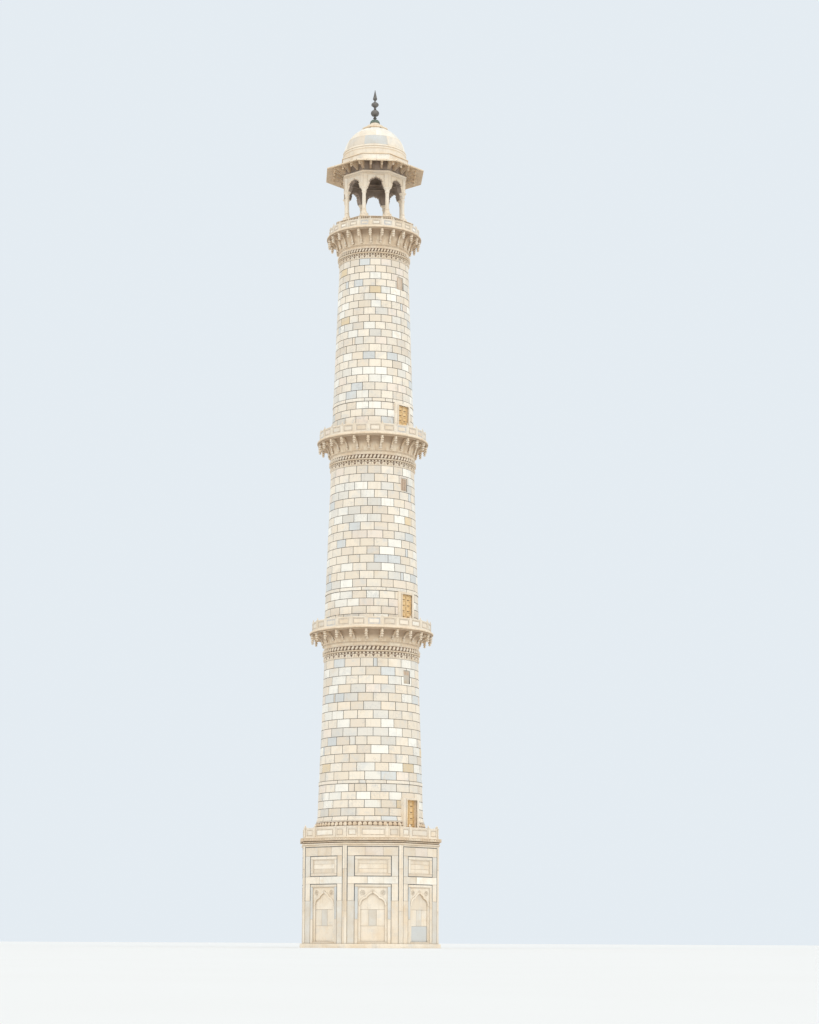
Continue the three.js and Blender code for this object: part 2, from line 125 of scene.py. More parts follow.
DOOR_SIDE = 270  # direction of -Y in degrees from +X
OUTSIDE = 4  # farther from the axis than every wall
JOINED = 1e-5  # vertices nearer than this are one
LEVEL = 1e-4  # ends of a level edge differ less than this in height
SOFT_EDGE = 0.006  # bevel of the finest dressed edges


# Modelling with the operators of object and edit mode

def leave_all():
    """Leave edit mode with nothing selected, the loaded model's pieces included."""
    if bpy.context.mode != "OBJECT":
        bpy.ops.object.mode_set(mode="OBJECT")
    bpy.ops.object.select_all(action="DESELECT")


def choose(*pieces):
    """Select these pieces alone, with the first one active."""
    leave_all()
    for piece in pieces:
        piece.select_set(True)
    bpy.context.view_layer.objects.active = pieces[0]


def select_all():
    bpy.ops.mesh.select_all(action="SELECT")


def merge_near():
    bpy.ops.mesh.remove_doubles(threshold=JOINED)


def extrude(x, y, z):
    bpy.ops.mesh.extrude_region_move(TRANSFORM_OT_translate={"value": (x, y, z)})


def inset(thickness, depth, **how):
    bpy.ops.mesh.inset(thickness=thickness, depth=depth, **how)


def bevel(offset, segments=1):
    bpy.ops.mesh.bevel(offset=offset, segments=segments, affect="EDGES")


def added(name, primitive, **sizes):
    """A new primitive, ready for edit mode."""
    leave_all()
    primitive(**sizes)
    piece = bpy.context.active_object
    piece.name = name
    bpy.ops.object.transform_apply(location=True, rotation=True, scale=True)
    bpy.ops.object.mode_set(mode="EDIT")
    select_all()
    return piece


def edit(piece):
    """Open a piece in edit mode with all of it selected."""
    choose(piece)
    bpy.ops.object.mode_set(mode="EDIT")
    select_all()


def middle(part):
    """The middle of a vertex, an edge or a face."""
    if isinstance(part, bmesh.types.BMVert):
        return part.co
    if isinstance(part, bmesh.types.BMEdge):
        return (part.verts[0].co + part.verts[1].co) / 2
    return part.calc_center_median()


def select_where(kind, test):
    """Select only the vertices, edges or faces that pass a test."""
    bpy.ops.mesh.select_mode(type=kind)
    bpy.ops.mesh.select_all(action="DESELECT")
    data = bpy.context.edit_object.data
    mesh = bmesh.from_edit_mesh(data)
    for part in {"VERT": mesh.verts, "EDGE": mesh.edges, "FACE": mesh.faces}[kind]:
        if test(part):
            part.select_set(True)
    bmesh.update_edit_mesh(data)


def weld():
    """Merge doubled vertices and turn the faces outwards."""
    select_all()
    merge_near()
    bpy.ops.mesh.normals_make_consistent(inside=False)


def shift(x=0.0, y=0.0, z=0.0):
    bpy.ops.transform.translate(value=(x, y, z))


def resize(x=1.0, y=1.0, z=1.0, about=(0, 0, 0)):
    bpy.ops.transform.resize(value=(x, y, z), center_override=about)


def turn(angle, axis="Z", about=(0, 0, 0)):
    """Turn what is selected anticlockwise about an axis. Without a window the operator turns clockwise."""
    bpy.ops.transform.rotate(value=-radians(angle), orient_axis=axis, center_override=about)


def draw(name, points):
    """A chain of edges through points of the plane y = 0, drawn by extruding a vertex."""
    piece = added(name, bpy.ops.mesh.primitive_plane_add, size=1)
    bpy.ops.mesh.select_mode(type="VERT")
    bpy.ops.mesh.merge(type="CENTER")
    shift(points[0][0], 0, points[0][1])
    for (x0, z0), (x1, z1) in zip(points, points[1:]):
        extrude(x1 - x0, 0, z1 - z0)
    select_all()
    return piece


def spun(name, profile, steps=96, phase=0.0):
    """A profile of radius and height turned about the axis."""
    piece = draw(name, profile)
    bpy.ops.mesh.spin(steps=steps, angle=tau, center=(0, 0, 0), axis=(0, 0, 1))
    weld()
    if phase:
        turn(phase)
    return piece


def spun_ring(name, profile, steps=96, phase=0.0):
    """A closed profile turned about the axis."""
    return spun(name, [*profile, profile[0]], steps, phase)


def octagon(name, profile, make=spun):
    """A profile of distance to the flats and height, turned into an octagon square to the axes."""
    return make(name, [(flat * CORNER, height) for flat, height in profile], SIDES, HALF_SIDE)


def sheet(name, outline):
    """One face in the plane y = 0, selected."""
    piece = draw(name, [*outline, outline[0]])
    merge_near()
    select_all()
    bpy.ops.mesh.edge_face_add()
    return piece


def thickened(piece, front, thickness, edge=0.0, segments=1):
    """A sheet given its thickness behind y = front, its front edges bevelled."""
    extrude(0, thickness, 0)
    weld()
    if edge:
        select_where("EDGE", lambda part: all(abs(end.co.y) < JOINED for end in part.verts) and sharp(part))
        bevel(edge, segments)
    select_all()
    shift(0, front, 0)
    return piece


def plate(name, outline, *sizes):
    """A flat plate that faces -Y, with the sizes that thickened takes."""
    return thickened(sheet(name, outline), *sizes)


def near(x, z, *steps):
    """Points of a profile given from a spot of their own."""
    return [(x + across, z + up) for across, up in steps]


def rectangle(x0, x1, z0, z1):
    return [(x0, z0), (x1, z0), (x1, z1), (x0, z1)]


def portal(low, half, top, inner, head):
    """Outline of a frame with two legs and a head."""
    return [
        (-half, low), (-half, top), (half, top), (half, low),
        (inner, low), (inner, head), (-inner, head), (-inner, low),
    ]


def archway(half, low, top, path):
    """Outline of a wall round an arch, the right half of which is a path."""
    return [(-half, low), (-half, top), (half, top), (half, low), *path, *flip(path)[1:]]


def flip(path):
    return [(-x, z) for x, z in reversed(path)]


def arc(x, z, radius, first, last, steps):
    """Points of an arc about x, z between two directions in degrees."""
    angles = [radians(first + (last - first) * step / steps) for step in range(steps + 1)]
    return [(x + radius * cos(angle), z + radius * sin(angle)) for angle in angles]


def curve(start, pull, end, steps):
    """Points of a curve from start to end that leans towards pull."""
    points = []
    for step in range(steps + 1):
        share = step / steps
        points.append(tuple(
            a * (1 - share) ** 2 + 2 * b * share * (1 - share) + c * share ** 2
            for a, b, c in zip(start, pull, end)
        ))
    return points


def framing(name, x0, x1, z0, z1, width, *sizes):
    """A picture frame that faces -Y, its outer rectangle given."""
    piece = sheet(name, rectangle(x0, x1, z0, z1))
    bpy.ops.mesh.select_mode(type="FACE")
    inset(width, 0)
    bpy.ops.mesh.delete(type="FACE")
    select_all()
    return thickened(piece, *sizes)


def sharp(edge):
    return len(edge.link_faces) == 2 and edge.calc_face_angle() > 0.5


def bead(name, x, y, z, wide, deep, high, segments=8, rings=6):
    """A rounded bead, squashed to its size."""
    piece = added(name, bpy.ops.mesh.primitive_uv_sphere_add, segments=segments, ring_count=rings, radius=1)
    resize(wide, deep, high)
    shift(x, y, z)
    return piece


def modified(piece, kind, **settings):
    """A piece with a modifier set and applied."""
    choose(piece)
    bpy.ops.object.modifier_add(type=kind)
    modifier = piece.modifiers[-1]
    for key, value in settings.items():
        setattr(modifier, key, value)
    bpy.ops.object.modifier_apply(modifier=modifier.name)
    return piece


def around(piece, count, first=0.0):
    """Copy a piece round the axis, the first one turned by an angle of its own."""
    edit(piece)
    if first:
        turn(first)
    leave_all()
    bpy.ops.object.empty_add(rotation=(0, 0, radians(360 / count)))
    step = bpy.context.active_object
    offset = {"use_object_offset": True, "offset_object": step}
    modified(piece, "ARRAY", use_relative_offset=False, count=count, **offset)
    bpy.data.objects.remove(step)
    return piece


def row(piece, count, pitch):
    """Copy a piece along X, centred on where it stands."""
    offset = {"use_constant_offset": True, "constant_offset_displace": (pitch, 0, 0)}
    modified(piece, "ARRAY", use_relative_offset=False, count=count, **offset)
    edit(piece)
    shift(-pitch * (count - 1) / 2)
    return piece


def mirrored(piece):
    """The piece and its copy on the other side of x = 0."""
    edit(modified(piece, "MIRROR", use_mirror_merge=False))
    bpy.ops.mesh.normals_make_consistent(inside=False)
    return piece


def joined(name, pieces):
    """One piece of several, which keeps their finishes."""
    choose(*pieces)
    bpy.ops.object.join()
    whole = bpy.context.active_object
    whole.name = name
    return whole


def combined(piece, tool, operation="DIFFERENCE"):
    """Cut a piece with a tool, or keep what both fill. The tool goes."""
    modified(piece, "BOOLEAN", operation=operation, object=tool, solver="EXACT")
    bpy.data.objects.remove(tool)
    return piece


def box(name, x0, x1, y0, y1, z0, z1):
    centre = ((x0 + x1) / 2, (y0 + y1) / 2, (z0 + z1) / 2)
    piece = added(name, bpy.ops.mesh.primitive_cube_add, size=1, location=centre)
    resize(x1 - x0, y1 - y0, z1 - z0, about=centre)
    return piece


def coat_selected(piece, material):
    """Give the selected faces a finish."""
    if material.name not in piece.data.materials:
        piece.data.materials.append(material)
    piece.active_material_index = piece.data.materials.find(material.name)
    bpy.ops.object.material_slot_assign()


def coat_where(piece, material, test):
    """Give the faces that pass a test a finish."""
    select_where("FACE", test)
    coat_selected(piece, material)


def coated(piece, material):
    """Give the whole piece a finish."""
    leave_all()
    piece.data.materials.clear()
    piece.data.materials.append(material)
    return piece


def stoned(piece, stone_at):
    """Write on each face the colour and the lot of the stone it belongs to."""
    leave_all()
    mesh = piece.data
    stones = mesh.attributes.get("stone") or mesh.attributes.new("stone", "FLOAT_COLOR", "FACE")
    values = []
    for face in mesh.polygons:
        values.extend(stone_at(face.center))
    stones.data.foreach_set("color", values)
    return piece


def of_stone(piece, colour, lot):
    """The whole piece of one stone."""
    return stoned(piece, lambda _: (*colour, lot))


def finished(piece, slot, *nodes, smooth=32):
    """Bring a piece to the model's size, smooth it, and put it in the place of its CAD nodes."""
    choose(piece)
    piece.name = "dressed_" + piece.name.split(".")[0]
    piece.scale = (MODEL, MODEL, MODEL)
    bpy.ops.object.transform_apply(location=True, rotation=True, scale=True)
    bpy.ops.object.shade_smooth_by_angle(angle=radians(smooth))
    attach(piece, "root")
    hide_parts(*nodes)
    leave_all()


def azimuth(point):
    """Direction of a point from the axis, in degrees from +X."""
    return degrees(atan2(point.y, point.x)) % 360


def wall_radius(storey, z):
    """Outside radius of a storey's wall at a height."""
    if storey.name == "first" and z < SHAFT_FOOT.flare_top:
        share = (z - storey.foot) / (SHAFT_FOOT.flare_top - storey.foot)
        return SHAFT_FOOT.neck + (wall_radius(storey, SHAFT_FOOT.flare_top) - SHAFT_FOOT.neck) * share
    share = (z - storey.foot) / (storey.head - storey.foot)
    return storey.foot_radius + (storey.head_radius - storey.foot_radius) * share


# Stone picked from the quarry's lots

STONE_SHARES = {
    "cream": 40, "white": 14, "ivory": 18, "beige": 9, "grey": 10, "blue": 4, "rose": 4, "ochre": 1,
}

LET_IN = ("blue", "blue", "grey", "beige")  # lots of the narrow stones let in beside a joint
NARROW = 4  # steps of the wall below which a stone counts as let in


def picked(colours, dice, name=None):
    """Colour and lot of one stone."""
    name = name or dice.choices(list(STONE_SHARES), STONE_SHARES.values())[0]
    light = dice.uniform(0.9, 1.04)
    return (*(min(channel * light, 1) for channel in getattr(colours, name)), dice.random())


def joint_plan(courses, blocks, steps, dice):
    """Steps round the wall at which the upright joints of each course stand, in broken bond.

    Here and there a narrow stone is let in beside a joint.
    """
    plan = []
    for course in range(courses):
        offset = steps // 2 if course % 2 else 0
        joints = set()
        for block in range(blocks):
            place = block * steps + offset
            joints.add((place + dice.choice((-1, *[0] * 12, 1))) % (blocks * steps))
            if dice.random() < 0.05:
                joints.add((place + dice.choice((2, 3))) % (blocks * steps))
        plan.append(sorted(joints))
    return plan


def open_joints(piece, is_joint, width, proud, bed, face):
    """Part a shell along its joints and raise each stone out of the joint's bed."""
    select_where("EDGE", is_joint)
    bpy.ops.mesh.edge_split(type="EDGE")
    bpy.ops.mesh.select_mode(type="FACE")
    select_all()
    coat_selected(piece, bed)
    inset(width / 2, 0, use_boundary=True)
    coat_selected(piece, face)
    inset(proud, proud, use_boundary=True)
    weld()


def hollowed(piece, inner, lining):
    """Close an open wall with flat ends and a round inside."""
    mesh = bmesh.from_edit_mesh(piece.data)
    ends = sorted({round(middle(edge).z, 4) for edge in mesh.edges if edge.is_boundary})
    for end in (ends[0], ends[-1]):
        select_where("EDGE", lambda edge: edge.is_boundary and abs(middle(edge).z - end) < 0.002)
        rim = next(vertex.co for vertex in bmesh.from_edit_mesh(piece.data).verts if vertex.select)
        extrude(0, 0, 0)
        share = inner / hypot(rim.x, rim.y)
        resize(share, share, 1)
        coat_rim(piece, lining, inner)
    select_where("EDGE", lambda edge: edge.is_boundary)
    bpy.ops.mesh.bridge_edge_loops()
    coat_rim(piece, lining, inner)
    weld()


def coat_rim(piece, lining, inner):
    """Give the faces inside a wall their finish, brown as painted shade."""
    coat_where(piece, lining, lambda face: any(hypot(v.co.x, v.co.y) < inner + 0.01 for v in face.verts))


def masonry(name, heights, radius_at, inner, blocks, settings, coats, seed):
    """A round wall of marble blocks laid in courses."""
    dice = random.Random(seed)
    steps = 8
    total = blocks * steps
    plan = joint_plan(len(heights) - 1, blocks, steps, dice)
    stones = []
    for joints in plan:
        widths = [(joint - joints[number - 1]) % total for number, joint in enumerate(joints)]
        names = (dice.choice(LET_IN) if width < NARROW else None for width in widths)
        stones.append([picked(settings.stone, dice, name) for name in names])
    piece = spun(name, [(radius_at(z), z) for z in heights], total)

    def course_of(z):
        return min(max(bisect_right(heights, z) - 1, 0), len(plan) - 1)

    def is_joint(edge):
        low, high = sorted((edge.verts[0].co.z, edge.verts[1].co.z))
        if high - low < LEVEL:
            return True
        return round(azimuth(middle(edge)) * total / 360) % total in plan[course_of((low + high) / 2)]

    def stone_at(point):
        course = course_of(point.z)
        step = azimuth(point) * total / 360
        return stones[course][bisect_right(plan[course], step) % len(plan[course])]

    open_joints(piece, is_joint, settings.joint_width, settings.block_proud, coats.joint, coats.block)
    hollowed(piece, inner, coats.lining)
    return piece, stone_at


# Finishes

LOT_SPREAD = 40.0  # how far apart the noise of the first and the last lot are


class Value:
    """A node's socket on which Python's operators work, each adding its Math node."""

    def __init__(self, coat, socket):
        self.coat = coat
        self.socket = socket

    def maths(self, operation, *others):
        return self.coat.node("Math", {"operation": operation}, dict(enumerate((self, *others))))

    def turned_maths(self, operation, other):
        return self.coat.node("Math", {"operation": operation}, {0: other, 1: self})

    def __add__(self, other):
        return self.maths("ADD", other)

    def __radd__(self, other):
        return self.turned_maths("ADD", other)

    def __sub__(self, other):
        return self.maths("SUBTRACT", other)

    def __rsub__(self, other):
        return self.turned_maths("SUBTRACT", other)

    def __mul__(self, other):
        return self.maths("MULTIPLY", other)

    def __rmul__(self, other):
        return self.turned_maths("MULTIPLY", other)

    def __abs__(self):
        return self.maths("ABSOLUTE")


class Coat:
    """A finish being made: a material, its nodes and the shader that they feed."""

    def __init__(self, name, roughness=0.6, metallic=0.0):
        self.material = bpy.data.materials.new(name)
        self.material.use_nodes = True
        self.tree = self.material.node_tree
        self.shader = next(node for node in self.tree.nodes if node.type == "BSDF_PRINCIPLED")
        self.shader.inputs["Roughness"].default_value = roughness
        self.shader.inputs["Metallic"].default_value = metallic

    def node(self, kind, settings=None, sockets=None, output=0):
        """Add a node: its settings first, then the values or links of its sockets."""
        node = self.tree.nodes.new("ShaderNode" + kind)
        for key, value in (settings or {}).items():
            setattr(node, key, value)
        for key, value in (sockets or {}).items():
            self.feed(node.inputs[key], value)
        return Value(self, node.outputs[output])

    def feed(self, socket, value):
        if isinstance(value, Value):
            self.tree.links.new(value.socket, socket)
        elif socket.type == "RGBA" and len(value) == 3:
            socket.default_value = (*value, 1)
        else:
            socket.default_value = value

    def place(self, x=1.0, y=1.0, z=1.0):
        """Where a point is, in metres of the real tower, stretched along the axes."""
        spot = self.node("TexCoord", output="Object")
        scale = (x / MODEL, y / MODEL, z / MODEL)
        return self.node("VectorMath", {"operation": "MULTIPLY"}, {0: spot, 1: scale})

    def noise(self, place, scale, detail=4.0, roughness=0.55, lot=None, distortion=0.0):
        sockets = {
            "Vector": place, "Scale": scale, "Detail": detail, "Roughness": roughness,
            "Distortion": distortion,
        }
        if lot is None:
            return self.node("TexNoise", None, sockets)
        return self.node("TexNoise", {"noise_dimensions": "4D"}, {**sockets, "W": lot * LOT_SPREAD})

    def ranged(self, value, low, high, to_low=0.0, to_high=1.0):
        """A value brought smoothly from one range to another."""
        sockets = {0: value, 1: low, 2: high, 3: to_low, 4: to_high}
        return self.node("MapRange", {"interpolation_type": "SMOOTHSTEP"}, sockets)

    def mixed(self, factor, first, second, blend="MIX"):
        settings = {"data_type": "RGBA", "blend_type": blend, "clamp_factor": True}
        return self.node("Mix", settings, {0: factor, 6: first, 7: second}, output=2)

    def laid(self, colour, other, measure, low, high, share_low=0, share_high=1):
        """Another colour laid over one, in shares that follow a measure."""
        return self.mixed(self.ranged(measure, low, high, share_low, share_high), colour, other)

    def upness(self):
        """How far the surface looks up, from -1 to 1."""
        normal = self.node("TexCoord", output="Normal")
        return self.node("SeparateXYZ", None, {0: normal}, output="Z")

    def shelter(self, distance):
        """How much light from all round reaches a spot, from 0 in a corner to 1 in the open; it masks painted
        shade.
        """
        sockets = {"Distance": distance * MODEL}
        return self.node("AmbientOcclusion", {"samples": 6, "only_local": True}, sockets, output="AO")

    def bumped(self, height, depth, strength=1.0):
        """A Normal from a height, with its depth in metres of the real tower."""
        sockets = {"Height": height, "Distance": depth * MODEL, "Strength": strength}
        return self.node("Bump", None, sockets)

    def done(self, **sockets):
        """Link the shader's sockets and give the material."""
        for key, value in sockets.items():
            self.feed(self.shader.inputs[key.replace("_", " ").title()], value)
        return self.material


def marble_colour(coat, stone, lot, colours, veins=1.0, stains=1.0):
    """Marble with clouds, veins, rust-coloured stains and the streaks of rain."""
    place = coat.place()
    clouds = coat.noise(place, 1.7, 5, 0.6, lot, 0.5)
    colour = coat.laid(stone, colours.cloud, clouds, 0.48, 0.72, 0, 0.5 * veins)
    bend = coat.noise(place, 2.3, 6, 0.62, lot, 1.6)
    line = coat.ranged(abs(bend - 0.5), 0.0, 0.03, 1, 0)
    patch = coat.ranged(coat.noise(place, 0.9, 2, 0.5, lot), 0.48, 0.62)
    colour = coat.mixed(line * patch * (0.4 * veins), colour, colours.vein)
    rust = coat.noise(place, 1.3, 5, 0.65, lot, 0.3)
    colour = coat.laid(colour, colours.stain, rust, 0.56, 0.76, 0, 0.45 * stains)
    rain = coat.noise(coat.place(7, 7, 0.35), 1.0, 4, 0.6)
    colour = coat.laid(colour, colours.streak, rain, 0.5, 0.78, 0, 0.28 * stains)
    grain = coat.ranged(coat.noise(place, 26, 3, 0.6), 0.3, 0.7, 0.965, 1.02)
    return coat.mixed(1.0, colour, grey(coat, grain), "MULTIPLY")


def grey(coat, value):
    """A value as a grey colour."""
    return coat.node("CombineColor", None, {0: value, 1: value, 2: value})


def stone_of(coat):
    """Colour and lot written on the faces."""
    colour = coat.node("Attribute", {"attribute_name": "stone"}, output="Color")
    lot = coat.node("Attribute", {"attribute_name": "stone"}, output="Alpha")
    return colour, lot


def block_marble(colours):
    coat = Coat("block_marble")
    stone, lot = stone_of(coat)
    colour = marble_colour(coat, stone, lot, colours)
    dress = coat.noise(coat.place(), 9, 5, 0.65)
    roughness = coat.ranged(dress, 0.3, 0.7, 0.42, 0.66)
    return coat.done(base_color=colour, roughness=roughness, normal=coat.bumped(dress, 0.006, 0.6))


def joint_mortar(colours):
    coat = Coat("joint_mortar", 0.9)
    place = coat.place()
    grime = coat.noise(place, 3.1, 4, 0.6)
    colour = coat.laid(colours.mortar, colours.old_mortar, grime, 0.35, 0.65)
    sand = coat.noise(place, 55, 3, 0.7)
    return coat.done(base_color=colour, normal=coat.bumped(sand, 0.006))


def trim_marble(colours):
    """Dressed white marble with painted shade: darker in corners and tan under ledges."""
    coat = Coat("trim_marble")
    place = coat.place()
    stone, lot = stone_of(coat)
    tone = coat.ranged(coat.noise(place, 0.8, 3, 0.6, lot), 0.4, 0.66, 0, 0.5)
    stone = coat.mixed(tone, stone, colours.ivory, "MULTIPLY")
    colour = marble_colour(coat, stone, lot, colours, 0.6, 1.2)
    # Painted shade: darker brown in corners and under ledges.
    colour = coat.laid(colour, colours.grime, coat.shelter(0.14), 0.35, 0.95, 0.62, 0)
    # Painted shade: tan on faces that look down.
    colour = coat.laid(colour, colours.weathered, coat.upness(), -0.9, -0.2, 0.45, 0)
    dress = coat.noise(place, 12, 5, 0.65)
    roughness = coat.ranged(dress, 0.3, 0.7, 0.42, 0.66)
    return coat.done(base_color=colour, roughness=roughness, normal=coat.bumped(dress, 0.006, 0.5))


def carved_marble(colours):
    """Carved marble tan with age and streaked by rain, with painted light on top and painted shade below and
    in corners.
    """
    coat = Coat("carved_marble", 0.75)
    place = coat.place()
    age = coat.noise(place, 1.1, 5, 0.62, distortion=0.4)
    colour = coat.laid(colours.weathered, colours.washed, age, 0.38, 0.66)
    # Painted light: paler cream on faces that look up.
    colour = coat.laid(colour, colours.cream, coat.upness(), 0.1, 0.9, 0, 0.35)
    rain = coat.noise(coat.place(6, 6, 0.5), 1.3, 4, 0.6)
    colour = coat.laid(colour, colours.hollow, rain, 0.48, 0.74, 0, 0.35)
    # Painted shade: brown on faces that look down.
    colour = coat.laid(colour, colours.hollow, coat.upness(), -0.95, -0.4, 0.58, 0)
    # Painted shade: dark brown in corners.
    colour = coat.laid(colour, colours.soot, coat.shelter(0.22), 0.25, 0.9, 0.7, 0)
    pits = coat.noise(place, 18, 5, 0.7)
    roughness = coat.ranged(pits, 0.3, 0.7, 0.6, 0.85)
    return coat.done(base_color=colour, roughness=roughness, normal=coat.bumped(pits, 0.01, 0.7))


def shaded_hollow(colours):
    """The ground between brackets, washed pale low down, with painted shade: brown under the slabs and in
    corners.
    """
    coat = Coat("shaded_hollow", 0.85)
    place = coat.place()
    # Painted shade: a brown ground laid where shade falls.
    colour = coat.laid(colours.weathered, colours.hollow, coat.noise(place, 2.4, 5, 0.62), 0.35, 0.68, 0, 0.6)
    washed = coat.ranged(coat.noise(coat.place(5, 5, 1), 1.1, 4, 0.6), 0.4, 0.66, 0, 0.7)
    upright = coat.ranged(coat.upness(), -0.75, -0.15)
    colour = coat.mixed(washed * upright, colour, colours.washed)
    # Painted shade: dark brown on faces that look down.
    colour = coat.mixed(coat.ranged(upright, 0, 1, 0.62, 0), colour, colours.soot)
    # Painted shade: dark brown in corners.
    colour = coat.laid(colour, colours.soot, coat.shelter(0.3), 0.2, 0.8, 0.8, 0)
    return coat.done(base_color=colour, normal=coat.bumped(coat.noise(place, 18, 4, 0.65), 0.008))


def sooty_lining(colours):
    """Inside of the pavilion and of the shaft, brown as painted shade, with darker patches."""
    coat = Coat("sooty_lining", 0.85)
    place = coat.place()
    colour = coat.laid(
        colours.lining, colours.lining_dark, coat.noise(place, 1.6, 5, 0.6), 0.35, 0.68, 0, 0.8,
    )
    return coat.done(base_color=colour, normal=coat.bumped(coat.noise(place, 14, 4, 0.6), 0.01))


def dark_pit(colours):
    """Painted shade, near black, for the bottom of what is drilled or cut deep."""
    coat = Coat("dark_pit", 0.9)
    patches = coat.noise(coat.place(), 5, 4, 0.6)
    return coat.done(base_color=coat.laid(colours.pit, colours.soot, patches, 0.35, 0.65))


def groove_marble(colours):
    """Sunk lines round the fields of the parapets, darker as painted shade."""
    coat = Coat("groove_marble", 0.7)
    stone, _ = stone_of(coat)
    worn = coat.noise(coat.place(), 6, 5, 0.65)
    return coat.done(base_color=coat.laid(stone, colours.washed, worn, 0.4, 0.7, 0, 0.55))


def slate_inlay(colours):
    coat = Coat("slate_inlay", 0.5)
    place = coat.place()
    colour = coat.laid(colours.slate, colours.dust, coat.noise(place, 5, 5, 0.65), 0.45, 0.75, 0, 0.45)
    return coat.done(base_color=colour, normal=coat.bumped(coat.noise(place, 30, 4, 0.6), 0.003))


def sandy_fill(colours):
    coat = Coat("sandy_fill", 0.85)
    place = coat.place()
    colour = coat.laid(colours.sand, colours.dust, coat.noise(place, 4, 5, 0.6), 0.35, 0.65)
    return coat.done(base_color=colour, normal=coat.bumped(coat.noise(place, 40, 4, 0.6), 0.005))


def door_paint(colours):
    """Ochre paint on boards, worn in patches, with painted shade at the edges and in the grooves."""
    coat = Coat("door_paint", 0.55)
    place = coat.place()
    boards = coat.noise(coat.place(14, 14, 0.7), 1.0, 5, 0.6)
    colour = coat.laid(colours.door, colours.door_light, boards, 0.35, 0.65)
    colour = coat.laid(colour, colours.door_worn, coat.noise(place, 6, 5, 0.7), 0.55, 0.72, 0, 0.5)
    # Painted shade: darker in the grooves and at the edges of the boards.
    colour = coat.laid(colour, colours.door_worn, coat.shelter(0.05), 0.4, 0.95, 0.8, 0)
    return coat.done(base_color=colour, normal=coat.bumped(boards, 0.004))


def window_boards(colours):
    coat = Coat("window_boards", 0.8)
    fibres = coat.noise(coat.place(20, 20, 1.2), 1.0, 5, 0.6)
    colour = coat.laid(colours.window, colours.window_dark, fibres, 0.3, 0.7)
    colour = coat.laid(colour, colours.dust, coat.noise(coat.place(), 7, 4, 0.6), 0.5, 0.75, 0, 0.4)
    return coat.done(base_color=colour, normal=coat.bumped(fibres, 0.004))


def dark_bronze(colours):
    """Dull grey bronze, green with patina on the cap at its foot."""
    coat = Coat("dark_bronze", 0.5, 0.2)
    place = coat.place()
    patches = coat.ranged(coat.noise(place, 5, 6, 0.65), 0.4, 0.66)
    colour = coat.mixed(patches, colours.bronze, colours.bronze_dull)
    height = coat.node("SeparateXYZ", None, {0: place}, output="Z")
    green = coat.ranged(height, 45.74, 45.8, 0.85, 0.0) * coat.ranged(patches, 0.2, 0.8, 0.6, 1)
    colour = coat.mixed(green, colour, colours.patina)
    roughness = coat.ranged(patches, 0.0, 1.0, 0.38, 0.62)
    return coat.done(base_color=colour, roughness=roughness, normal=coat.bumped(patches, 0.004))


def stage_floor(colours):
    coat = Coat("stage_floor", 0.9)
    tone = coat.noise(coat.place(), 0.2, 2, 0.5)
    return coat.done(base_color=coat.laid(colours.floor, colours.dust, tone, 0.3, 0.7, 0, 0.03))


FINISHES = {
    "block": block_marble, "joint": joint_mortar, "trim": trim_marble, "carved": carved_marble,
    "hollow": shaded_hollow, "pit": dark_pit, "groove": groove_marble, "lining": sooty_lining,
    "slate": slate_inlay, "sand": sandy_fill, "door": door_paint, "window": window_boards,
    "bronze": dark_bronze, "stage": stage_floor,
}


def coats_of(settings):
    """Every finish, made once from the settings' colours."""
    made = {}
    for name, make in FINISHES.items():
        made[name] = bpy.data.materials.get(make.__name__) or make(settings.stone)
    return Sizes(**made)


# Base

SIDE = BASE.flat * SIDE_SLOPE  # half of a side's length


def both(x0, x1, z0, z1, stone=""):
    """A slab and its twin on the other side of the middle."""
    return [(x0, x1, z0, z1, stone), (-x1, -x0, z0, z1, stone)]


# Slabs of one side: left, right, low and high edge, and stone
CLADDING = [
    *both(1.355, SIDE, 0.22, 1.92, "cream"), *both(1.355, SIDE, 1.92, 4.12, "ivory"),
    *both(1.355, SIDE, 4.12, 5.38, "cream"), (-1.355, 1.355, 5.29, 5.38, "ivory"),
    *both(0.975, 1.325, 0.22, 2.45, "grey"), *both(0.975, 1.325, 2.45, 3.34, "cream"),
    (-1.325, -0.28, 3.34, 3.72, "cream"), (-0.28, 1.325, 3.34, 3.72, "white"),
    *both(0.975, 1.325, 3.72, 4.8, "grey"), (-1.325, -0.42, 4.8, 5.26, "ivory"),
    (-0.42, 0.55, 4.8, 5.26, "rose"), (0.55, 1.325, 4.8, 5.26, "cream"),
    *both(0.78, 0.945, 0.22, 1.5, "cream"), *both(0.78, 0.945, 1.5, 3.18, "blue"),
    (-0.78, 0.78, 0.22, 0.3, "ivory"), (-0.945, 0.945, 3.18, 3.31, "cream"),
    *both(0.78, 0.945, 3.88, 4.62, "cream"), (-0.945, 0.945, 3.75, 3.88, "beige"),
    (-0.945, 0.945, 4.62, 4.77, "cream"),
]
PANEL_SLABS = [
    (-0.78, 0.78, 3.88, 4.12, "ivory"), (-0.78, 0.78, 4.12, 4.37, "cream"),
    (-0.78, 0.78, 4.37, 4.62, "cream"),
]
NICHE_SLABS = [
    (-0.66, 0.66, 0.3, 1.15, "blue"), (-0.66, -0.2, 1.15, 2.0, "cream"), (-0.2, 0.2, 1.15, 2.0, "grey"),
    (0.2, 0.66, 1.15, 2.0, "cream"), (-0.66, 0.66, 2.0, 2.9, "cream"),
]
INLAY = [
    *both(1.325, 1.355, 2.45, 5.29), (-1.325, 1.325, 5.26, 5.29, ""), *both(0.945, 0.975, 2.45, 3.34),
    (-0.945, 0.945, 3.31, 3.34, ""), *both(0.945, 0.975, 3.72, 4.8), (-0.945, 0.945, 3.72, 3.75, ""),
    (-0.945, 0.945, 4.77, 4.8, ""),
]
FILL = [*both(1.325, 1.355, 0.22, 2.45), *both(0.945, 0.975, 0.22, 2.45)]


